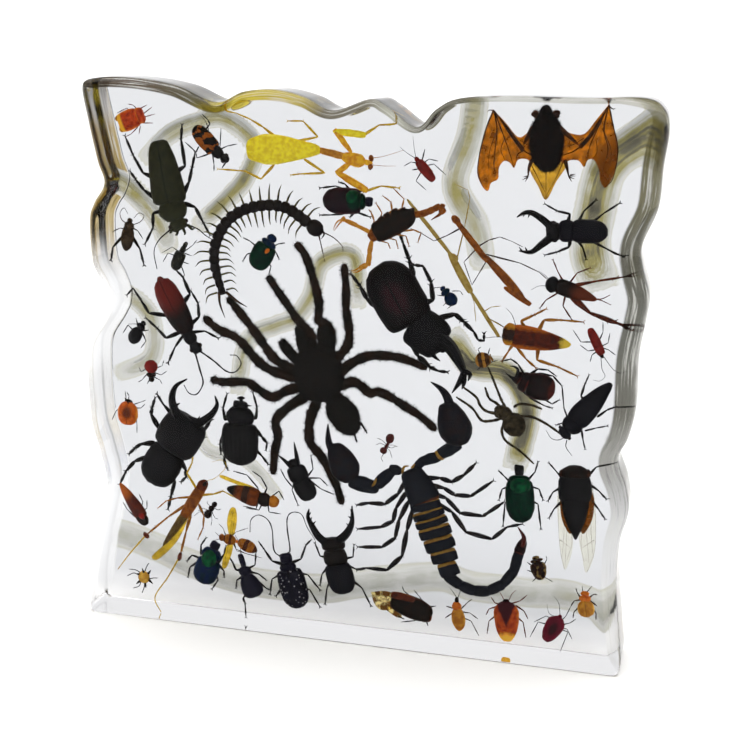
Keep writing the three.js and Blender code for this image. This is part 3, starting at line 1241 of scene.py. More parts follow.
class Form(Enum):
    """A body part's outline from tail to head: place along, share of its width, share of its thickness."""

    TAPERED = (
        (0.00, 0.10, 0.12), (0.04, 0.26, 0.30), (0.18, 0.52, 0.56), (0.40, 0.78, 0.84), (0.65, 0.96, 1.00),
        (0.85, 1.00, 0.96), (0.96, 0.86, 0.74), (1.00, 0.62, 0.50),
    )
    SLENDER = (
        (0.00, 0.30, 0.30), (0.03, 0.62, 0.62), (0.20, 0.86, 0.88), (0.50, 1.00, 1.00), (0.80, 0.94, 0.92),
        (0.97, 0.80, 0.74), (1.00, 0.55, 0.50),
    )
    PRONOTUM = (
        (0.00, 0.72, 0.60), (0.06, 0.92, 0.82), (0.30, 1.00, 1.00), (0.60, 0.95, 0.95), (0.85, 0.78, 0.75),
        (0.96, 0.62, 0.58), (1.00, 0.46, 0.40),
    )
    COLLAR = (
        (0.00, 0.66, 0.60), (0.08, 0.80, 0.85), (0.35, 1.00, 1.00), (0.60, 0.98, 1.00), (0.88, 0.72, 0.80),
        (1.00, 0.55, 0.50),
    )
    HEAD = (
        (0.00, 0.62, 0.55), (0.12, 0.84, 0.85), (0.40, 1.00, 1.00), (0.70, 0.88, 0.88), (0.92, 0.58, 0.60),
        (1.00, 0.30, 0.30),
    )
    SQUARE = (
        (0.00, 0.74, 0.70), (0.10, 0.92, 0.90), (0.35, 1.00, 1.00), (0.80, 0.96, 0.95), (0.95, 0.80, 0.75),
        (1.00, 0.62, 0.50),
    )
    SHIELD = (
        (0.00, 0.20, 0.25), (0.05, 0.46, 0.50), (0.25, 0.80, 0.85), (0.50, 0.92, 1.00), (0.72, 1.00, 1.00),
        (0.86, 0.84, 0.86), (0.96, 0.50, 0.60), (1.00, 0.28, 0.30),
    )
    ROUND = (
        (0.00, 0.22, 0.22), (0.04, 0.44, 0.44), (0.15, 0.74, 0.74), (0.35, 0.96, 0.96), (0.55, 1.00, 1.00),
        (0.78, 0.84, 0.84), (0.93, 0.52, 0.52), (1.00, 0.26, 0.26),
    )
    WEDGE = (
        (0.00, 0.30, 0.30), (0.03, 0.50, 0.50), (0.15, 0.68, 0.74), (0.40, 0.84, 0.92), (0.70, 0.97, 1.00),
        (0.90, 1.00, 0.95), (0.97, 0.90, 0.75), (1.00, 0.70, 0.50),
    )
    SPINDLE = (
        (0.00, 0.18, 0.20), (0.05, 0.40, 0.42), (0.20, 0.78, 0.78), (0.45, 1.00, 1.00), (0.70, 0.92, 0.95),
        (0.90, 0.66, 0.68), (1.00, 0.40, 0.40),
    )
    DISC = (
        (0.00, 0.28, 0.26), (0.03, 0.46, 0.42), (0.12, 0.74, 0.68), (0.28, 0.94, 0.90), (0.50, 1.00, 1.00),
        (0.72, 0.94, 0.92), (0.88, 0.74, 0.72), (0.97, 0.46, 0.46), (1.00, 0.28, 0.28),
    )
    CONE = (
        (0.00, 0.04, 0.05), (0.06, 0.14, 0.20), (0.25, 0.45, 0.55), (0.40, 0.66, 0.80), (0.65, 0.88, 1.00),
        (1.00, 1.00, 1.00),
    )
    CAP = (
        (0.00, 0.98, 0.90), (0.25, 1.00, 1.00), (0.55, 0.90, 0.92), (0.80, 0.62, 0.70), (1.00, 0.34, 0.40),
    )
    SACK = (
        (0.00, 0.45, 0.40), (0.05, 0.66, 0.60), (0.18, 0.88, 0.85), (0.32, 1.00, 1.00), (0.52, 0.84, 1.00),
        (0.70, 0.62, 0.90), (0.86, 0.42, 0.70), (1.00, 0.26, 0.45),
    )
    EGG = (
        (0.00, 0.20, 0.24), (0.02, 0.38, 0.42), (0.07, 0.61, 0.64), (0.16, 0.82, 0.84), (0.30, 0.95, 0.96),
        (0.50, 1.00, 1.00), (0.74, 0.99, 1.00), (0.91, 0.92, 0.88), (0.98, 0.82, 0.72), (1.00, 0.66, 0.50),
    )
    PEAR = (
        (0.00, 0.30, 0.32), (0.03, 0.56, 0.56), (0.10, 0.82, 0.82), (0.24, 1.00, 1.00), (0.46, 0.97, 1.00),
        (0.72, 0.82, 0.88), (0.92, 0.60, 0.66), (1.00, 0.40, 0.42),
    )
    CARAPACE = (
        (0.00, 0.88, 0.70), (0.08, 0.98, 0.95), (0.30, 1.00, 1.00), (0.60, 0.86, 1.00), (0.88, 0.72, 0.86),
        (0.97, 0.62, 0.66), (1.00, 0.48, 0.46),
    )
    CASE = (
        (0.00, 0.30, 0.35), (0.03, 0.55, 0.60), (0.12, 0.84, 0.86), (0.30, 0.97, 1.00), (0.50, 1.00, 1.00),
        (0.70, 0.93, 0.96), (0.85, 0.80, 0.84), (1.00, 0.62, 0.60),
    )
    PLATE = (
        (0.00, 0.93, 0.84), (0.08, 0.985, 0.96), (0.40, 1.00, 1.00), (0.90, 0.99, 0.98), (1.00, 0.95, 0.84),
    )
    HAND = (
        (0.00, 0.30, 0.40), (0.08, 0.62, 0.70), (0.30, 1.00, 1.00), (0.55, 0.92, 0.95), (0.80, 0.66, 0.75),
        (1.00, 0.40, 0.45),
    )


@dataclass(frozen=True)
class Part:
    """One lofted part of a body: its form, the spots of its two ends, and half its width in millimetres."""

    form: Form
    tail: Spot
    head: Spot
    half: float
    finish: Chitin
    thick: float = 0.62
    seam: float = 0.0
    lift: float = 0.0


class Limb(Enum):
    """The kinds of thin tapered pieces."""

    LEG = "leg"
    SHANK = "shank"
    FEELER = "feeler"
    HORN = "horn"


SHARES = {Limb.LEG: (1.0, 0.76, 0.56, 0.44, 0.38, 0.34), Limb.SHANK: (1.0, 1.0, 0.95, 0.90, 0.62, 0.45)}


@dataclass(frozen=True)
class Limbs:
    """Thin pieces of one kind: how thick each is at its root, in millimetres, and the spots along each."""

    kind: Limb
    width: float
    finish: Chitin
    paths: tuple[Path, ...]
    lift: float = 0.0


@dataclass(frozen=True)
class Wing:
    """A flat sheet: its outline's spots, its finish and the veins on it."""

    outline: Path
    finish: Membrane
    veins: tuple[Path, ...] = ()
    vein_width: float = 0.22
    lift: float = 0.0


class Bench:
    """Models the pieces of one animal with the usual tools and joins them in one mesh."""

    def __init__(self, name: str, depth: float) -> None:
        """Starts an animal.

        Args:
            name: Its name.
            depth: How far its middle lies behind the front, in millimetres.
        """
        self.name = name
        self.depth = depth
        self.bulk = 0.0
        self.bodies: list[Object] = []
        self.extras: list[Object] = []
        self.lines: dict[Chitin, list[tuple[np.ndarray, np.ndarray]]] = {}

    def at(self, spot: Spot, lift: float = 0.0) -> Vector:
        """A spot's place; lift brings it towards the viewer, in millimetres."""
        return SIGHT.at(spot, self.depth - lift)

    def reach(self, part: Part) -> float:
        """Finds half a part's real width from its width as seen square to its length.

        Args:
            part: The part.

        Returns:
            Half its width, in metres.
        """
        run = Vector(part.head) - Vector(part.tail)
        middle = (Vector(part.head) + Vector(part.tail)) / 2
        side = Vector((run.y, -run.x)).normalized() * part.half * PIXELS_PER_MM
        return (self.at(tuple(middle + side)) - self.at(tuple(middle - side))).length / 2 * ROUNDING_LOSS

    def loft(self, part: Part, sides: int = 16) -> Object:
        """Models a rounded body part by extruding and scaling a disc.

        Args:
            part: What to make.
            sides: Corners of its cross-section.

        Returns:
            The part's object, in place.
        """
        tail, head = self.at(part.tail, part.lift), self.at(part.head, part.lift)
        length = (head - tail).length
        half = self.reach(part)
        thick = half * part.thick
        self.bulk = max(self.bulk, part.half)
        bpy.ops.object.select_all(action="DESELECT")
        bpy.ops.mesh.primitive_circle_add(vertices=sides, radius=1, fill_type="NGON", enter_editmode=True)
        last = (0.0, 1.0, 1.0)
        for number, ring in enumerate(part.form.value):
            along, wide, deep = ring[0] * length, ring[1] * half, ring[2] * thick
            if number:
                bpy.ops.mesh.extrude_region_move(TRANSFORM_OT_translate={"value": (0, 0, along - last[0])})
            bpy.ops.transform.resize(value=(wide / last[1], deep / last[2], 1))
            last = (along, wide, deep)
        bpy.ops.mesh.select_all(action="SELECT")
        bpy.ops.mesh.normals_make_consistent(inside=False)
        bpy.ops.object.mode_set(mode="OBJECT")
        body = bpy.context.object
        self.press(body.data, part, Vector((half, thick, length)))
        body.matrix_world = self.stand(tail, head)
        bpy.ops.object.transform_apply(location=True, rotation=True, scale=True)
        body.data.materials.append(part.finish.make())
        self.bodies.append(body)
        return body

    def repeat(self, body: Object, was: Part, part: Part) -> None:
        """Copies a lofted part to another one's place and size.

        Args:
            body: The first part's object.
            was: What the first part is.
            part: What the copy is.
        """
        bpy.ops.object.select_all(action="DESELECT")
        body.select_set(True)
        bpy.context.view_layer.objects.active = body
        bpy.ops.object.duplicate()
        copy = bpy.context.object
        copy.data.transform(self.fit(part) @ self.fit(was).inverted())
        self.bodies.append(copy)

    def fit(self, part: Part) -> Matrix:
        """Finds the frame of a part with its size.

        Args:
            part: The part.

        Returns:
            The matrix that takes a part of unit size there.
        """
        tail, head = self.at(part.tail, part.lift), self.at(part.head, part.lift)
        half = self.reach(part)
        size = (half, half * part.thick, (head - tail).length, 1.0)
        return self.stand(tail, head) @ Matrix.Diagonal(size)

    @staticmethod
    def press(mesh: bpy.types.Mesh, part: Part, size: Vector) -> None:
        """Flattens a part's underside, presses in its seam, and notes each vertex's place in the body.

        Args:
            mesh: The part's mesh, still upright at the origin.
            part: What it is.
            size: Half its width, its thickness and its length, in metres.
        """
        raw = np.empty(3 * len(mesh.vertices))
        mesh.vertices.foreach_get("co", raw)
        places = raw.reshape(-1, 3)
        body = places / np.array(size)
        places[:, 1] = np.where(places[:, 1] < 0, UNDERSIDE * places[:, 1], places[:, 1])
        middle = (np.abs(body[:, 0]) < SEAM_WIDTH) & (places[:, 1] > 0)
        places[middle, 1] -= part.seam * size.y
        mesh.vertices.foreach_set("co", places.ravel())
        body[:, 1] = part.seam > 0
        note = mesh.attributes.new(BODY_PLACE, "FLOAT_VECTOR", "POINT")
        note.data.foreach_set("vector", body.ravel())

    @staticmethod
    def stand(tail: Vector, head: Vector) -> Matrix:
        """Finds the frame of a part.

        Args:
            tail: The place of its tail end.
            head: The place of its head end.

        Returns:
            The matrix whose last axis runs from tail to head, with the part's upper side to the viewer.
        """
        along = (head - tail).normalized()
        upper = Vector((0, -1, 0))
        upper = (upper - along * upper.dot(along)).normalized()
        across = upper.cross(along)
        turn = Matrix((across, upper, along)).transposed().to_4x4()
        return Matrix.Translation(tail) @ turn

    def limb(self, kind: Limb, path: Sequence[Vector], width: float, finish: Chitin) -> None:
        """Adds one thin tapered piece.

        Args:
            kind: What it is, which settles its joints and taper.
            path: Its places from root to tip, in metres.
            width: Its thickness at the root, in millimetres.
            finish: Its finish.
        """
        knots = np.array([tuple(place) for place in path])
        lines = self.lines.setdefault(finish, [])
        if kind in SHARES:
            lines.append(self.jointed(knots, width * MM / 2, SHARES[kind]))
            if width > SPURRED:
                lines.extend(self.spurs(knots, width * MM))
            return
        points = spline(knots, 7)
        share = np.linspace(0, 1, len(points))
        radii = width * MM / 2 * self.taper(
            kind, share, np.linalg.norm(np.diff(points, axis=0), axis=1).sum(),
        )
        lines.append((points, radii))

    @staticmethod
    def taper(kind: Limb, share: np.ndarray, length: float) -> np.ndarray:
        """Works out how thick a smooth limb is along its length.

        Args:
            kind: What it is: a horn tapers, a feeler is beaded.
            share: Places from root to tip, 0 to 1.
            length: Its length, in metres.

        Returns:
            The thickness there, as shares of the root's.
        """
        if kind is Limb.HORN:
            return 1 - 0.86 * share**1.7
        beads = 0.86 + 0.14 * np.cos(2 * math.pi * share * max(4, round(length / (1.1 * MM))))
        return beads * (1 - 0.55 * share)

    @staticmethod
    def jointed(knots: np.ndarray, root: float, shares: tuple[float, ...]) -> tuple[np.ndarray, np.ndarray]:
        """A leg's points and radii.

        Args:
            knots: Its joints, in metres.
            root: Half its thickness at the root.
            shares: How thick each stretch is, as shares of the root.

        Returns:
            The points and radii: each stretch swells between pinched joints, and the last ones are a beaded
            foot.
        """
        points, radii = [], []
        count = len(knots) - 1
        for number in range(count):
            start, end = knots[number], knots[number + 1]
            thick, after = (root * shares[min(number + step + (count < 3), 5)] for step in (0, 1))
            foot = number == count - 1
            beads = 1 + FOOT_BEADS * np.cos(JOINT_PLACES * 6 * math.pi) * foot
            uneven = 1 + LEG_BUMPS * np.sin(JOINT_PLACES * 23 + 900 * start[0] / root * MM + number)
            points.append(start + (end - start) * JOINT_PLACES[:, None])
            radii.append(JOINT_SWELL * beads * uneven * (thick + (after - thick) * JOINT_PLACES))
        points.append(knots[-1:])
        radii.append(np.array([root * 0.12]))
        return np.vstack(points), np.concatenate(radii)

    @staticmethod
    def spurs(knots: np.ndarray, width: float) -> list[tuple[np.ndarray, np.ndarray]]:
        """Works out the spines along a leg's shin and the two claws of its foot.

        Args:
            knots: The leg's joints, in metres.
            width: Its thickness at the root, in metres.

        Returns:
            The points and radii of each.
        """
        spines = []
        shin = min(1, len(knots) - 2)
        spots = ((shin, 0.5, (1,)), (shin, 0.72, (-1,)), (shin, 0.96, (1, -1)), (-2, 1.0, (1, -1)))
        for number, share, sides in spots:
            start, end = knots[number], knots[number + 1]
            along = (end - start) / np.linalg.norm(end - start)
            out = np.array([along[2], 0.0, -along[0]])
            place = start + (end - start) * share
            for side in sides:
                tip = place + width * (0.55 * along + 0.62 * side * out)
                bent = (place + tip) / 2 + 0.06 * width * along
                spines.append((np.stack([place, bent, tip]), width * SPUR_TAPER))
        return spines

    def limbs(self, group: Limbs) -> None:
        """Adds a group of limbs whose middles rise towards the viewer and whose tips sink away.

        Args:
            group: The limbs.
        """
        for path in group.paths:
            last = len(path) - 1
            if group.kind in SHARES:
                path = (self.rooted(*path[:2]), *path[1:])
            bow = group.width * (LEG_BOW if group.kind in SHARES else BOW)
            lifts = []
            for step in range(last + 1):
                rise = math.sin(math.pi * step / last) - TIP_SINK * step / last
                lifts.append(group.lift + bow * rise)
            places = [self.at(spot, lift) for spot, lift in zip(path, lifts)]
            self.limb(group.kind, places, group.width, group.finish)

    @staticmethod
    def rooted(root: Spot, knee: Spot, depth: float = 3.5) -> Spot:
        """Moves the root of a leg further into the body.

        Args:
            root: Where it shows first.
            knee: Its next joint.
            depth: How far to move it, in the view's pixels.

        Returns:
            The new root.
        """
        across, down = root[0] - knee[0], root[1] - knee[1]
        share = min(0.4, depth / math.hypot(across, down))
        return root[0] + share * across, root[1] + share * down

    def draw_lines(self, sides: int) -> list[Object]:
        """Turns the collected limbs into closed tubes.

        Args:
            sides: How round they are.

        Returns:
            One object for each finish.
        """
        made = []
        for finish, lines in self.lines.items():
            bpy.ops.object.select_all(action="DESELECT")
            bpy.ops.curve.primitive_nurbs_path_add()
            wire = bpy.context.object
            wire.data.splines.clear()
            for points, radii in lines:
                line = wire.data.splines.new("POLY")
                line.points.add(len(points) - 1)
                line.points.foreach_set("co", np.hstack([points, np.ones((len(points), 1))]).ravel())
                line.points.foreach_set("radius", radii)
            wire.data.bevel_depth = 1.0
            wire.data.bevel_resolution = sides
            wire.data.use_fill_caps = True
            bpy.ops.object.convert(target="MESH")
            bpy.ops.object.mode_set(mode="EDIT")
            bpy.ops.mesh.select_all(action="SELECT")
            bpy.ops.mesh.remove_doubles(threshold=0.002 * MM)
            bpy.ops.mesh.normals_make_consistent(inside=False)
            bpy.ops.object.mode_set(mode="OBJECT")
            wire.data.materials.clear()
            wire.data.materials.append(finish.make())
            made.append(wire)
        return made

    def sheet(self, wing: Wing, thickness: float = 0.12) -> None:
        """Models a flat wing from its outline, with its veins on it.

        Args:
            wing: The wing.
            thickness: Its thickness, in millimetres.
        """
        knots = np.array([tuple(self.at(spot, wing.lift)) for spot in wing.outline])
        edge = spline(np.vstack([knots, knots[:1]]), 4)[:-1]
        bpy.ops.object.select_all(action="DESELECT")
        bpy.ops.mesh.primitive_circle_add(
            vertices=len(edge), radius=1, fill_type="NGON", enter_editmode=False,
        )
        skin = bpy.context.object
        skin.data.vertices.foreach_set("co", edge.ravel())
        bpy.ops.object.mode_set(mode="EDIT")
        bpy.ops.mesh.select_all(action="SELECT")
        bpy.ops.mesh.extrude_region_move(TRANSFORM_OT_translate={"value": (0, thickness * MM, 0)})
        bpy.ops.mesh.select_all(action="SELECT")
        bpy.ops.mesh.normals_make_consistent(inside=False)
        bpy.ops.object.mode_set(mode="OBJECT")
        skin.data.materials.append(wing.finish.make())
        self.extras.append(skin)
        for vein in wing.veins:
            places = [self.at(spot, wing.lift + 0.1) for spot in vein]
            self.limb(Limb.FEELER, places, wing.vein_width, BROWN_LIMB)

    def join(self, pieces: list[Object]) -> Object:
        """Joins objects in one.

        Args:
            pieces: The objects.

        Returns:
            The joined object.
        """
        bpy.ops.object.select_all(action="DESELECT")
        for piece in pieces:
            piece.select_set(True)
        bpy.context.view_layer.objects.active = pieces[0]
        if len(pieces) > 1:
            bpy.ops.object.join()
        return bpy.context.view_layer.objects.active

    def round_bodies(self, levels: int) -> Object:
        """Joins the lofted parts, rounds them and makes them a little uneven, as grown things are.

        Args:
            levels: How often they are subdivided.

        Returns:
            The joined parts.
        """
        core = self.join(self.bodies)
        if levels:
            rounding = core.modifiers.new("rounding", "SUBSURF")
            rounding.levels = rounding.render_levels = levels
            bpy.ops.object.modifier_apply(modifier=rounding.name)
        size = (0.9 + 0.16 * self.bulk) * MM
        for vertex in core.data.vertices:
            vertex.co += noise.noise_vector(vertex.co / size) * (0.10 + 0.026 * self.bulk) * MM
        self.bodies = [core]
        return core

    def finish(self, slot: Slot, levels: int = 1, sides: int = 1) -> Object:
        """Joins everything made so far in one smooth object that rides with the slab.

        Args:
            slot: The material slot that it belongs to; it is not used.
            levels: Subdivision of the lofted parts.
            sides: How round the limbs are.

        Returns:
            The animal's object.
        """
        bodies = [self.round_bodies(levels)] if self.bodies else []
        animal = self.join([*bodies, *self.draw_lines(sides), *self.extras])
        animal.name = self.name
        animal.data.name = self.name
        bpy.ops.object.shade_smooth_by_angle(angle=math.radians(50))
        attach(animal, BODY)
        log.info("%s: %d faces", self.name, len(animal.data.polygons))
        return animal


@dataclass(frozen=True)
class Insect:
    """An animal that is all lofted parts, limbs and wings."""

    name: str
    depth: float
    parts: tuple[Part, ...]
    limbs: tuple[Limbs, ...] = ()
    wings: tuple[Wing, ...] = ()
    slot: Slot = Slot.DARK
    levels: int = 1

    def build(self) -> Object:
        """Makes the animal.

        Returns:
            Its object.
        """
        bench = Bench(self.name, self.depth)
        for part in self.parts:
            bench.loft(part)
        for group in self.limbs:
            bench.limbs(group)
        for wing in self.wings:
            bench.sheet(wing)
        return bench.finish(self.slot, self.levels)


# ------------------------------------------------------------------------------------------------ the beetles


@dataclass(frozen=True)
class Beetle:
    """A beetle: wing cases, neck shield and head in a row, with legs, feelers, jaws and horns.

    The spine holds the spots of the tail, the waist, the neck and the front of the head, and the widths are
    those of the wing cases, the shield and the head, in millimetres.
    """

    name: str
    depth: float
    spine: tuple[Spot, Spot, Spot, Spot]
    widths: Ring
    shell: Chitin
    legs: tuple[Path, ...]
    leg: float = 1.5
    limb: Chitin = BLACK_LIMB
    feelers: tuple[Path, ...] = ()
    feeler: float = 0.6
    shield: Chitin | None = None
    face: Chitin | None = None
    forms: tuple[Form, Form, Form] = (Form.EGG, Form.PRONOTUM, Form.HEAD)
    horns: tuple[Limbs, ...] = ()
    extras: tuple[Part, ...] = ()
    eye: float = 0.0
    slot: Slot = Slot.DARK

    def build(self) -> Object:
        """Makes the beetle.

        Returns:
            Its object.
        """
        tail, waist, neck, front = self.spine
        cases, shield, head = (width / 2 for width in self.widths)
        hip = self.between(tail, waist, OVERLAP[0])
        nape = self.between(waist, neck, OVERLAP[1])
        parts = (
            Part(self.forms[0], tail, hip, cases, self.shell, seam=0.10),
            Part(self.forms[1], waist, nape, shield, self.shield or self.shell),
            Part(self.forms[2], neck, front, head, self.face or self.shield or self.shell),
        )
        limbs = (
            Limbs(Limb.LEG, self.leg, self.limb, self.legs, -0.8),
            Limbs(Limb.FEELER, self.feeler, self.limb, self.feelers),
            *self.horns,
        )
        everything = (*parts, *self.eyes(), *self.extras)
        return Insect(self.name, self.depth, everything, limbs, slot=self.slot).build()

    @staticmethod
    def between(first: Spot, second: Spot, share: float) -> Spot:
        """The spot this share of the way from the first to the second."""
        return first[0] + share * (second[0] - first[0]), first[1] + share * (second[1] - first[1])

    def eyes(self) -> tuple[Part, ...]:
        """Lays out the eyes at both sides of the head.

        Returns:
            Both eyes, or nothing where the head has none.
        """
        if not self.eye:
            return ()
        neck, front = self.spine[2:]
        across = (front[1] - neck[1], neck[0] - front[0])
        size = math.hypot(*across)
        middle = self.between(neck, front, EYE_PLACE)
        made = []
        for side in (-1, 1):
            reach = side * self.widths[2] / size
            spot = (middle[0] + reach * across[0], middle[1] + reach * across[1])
            ahead = self.between(neck, front, 0.2)
            end = (spot[0] + ahead[0] - neck[0], spot[1] + ahead[1] - neck[1])
            back = (2 * spot[0] - end[0], 2 * spot[1] - end[1])
            made.append(Part(Form.ROUND, back, end, self.eye, EYE, 0.9))
        return tuple(made)


def horns(width: float, *paths: Path, finish: Chitin = BLACK, lift: float = 1.0) -> Limbs:
    """Horns or jaws of one thickness."""
    return Limbs(Limb.HORN, width, finish, paths, lift)


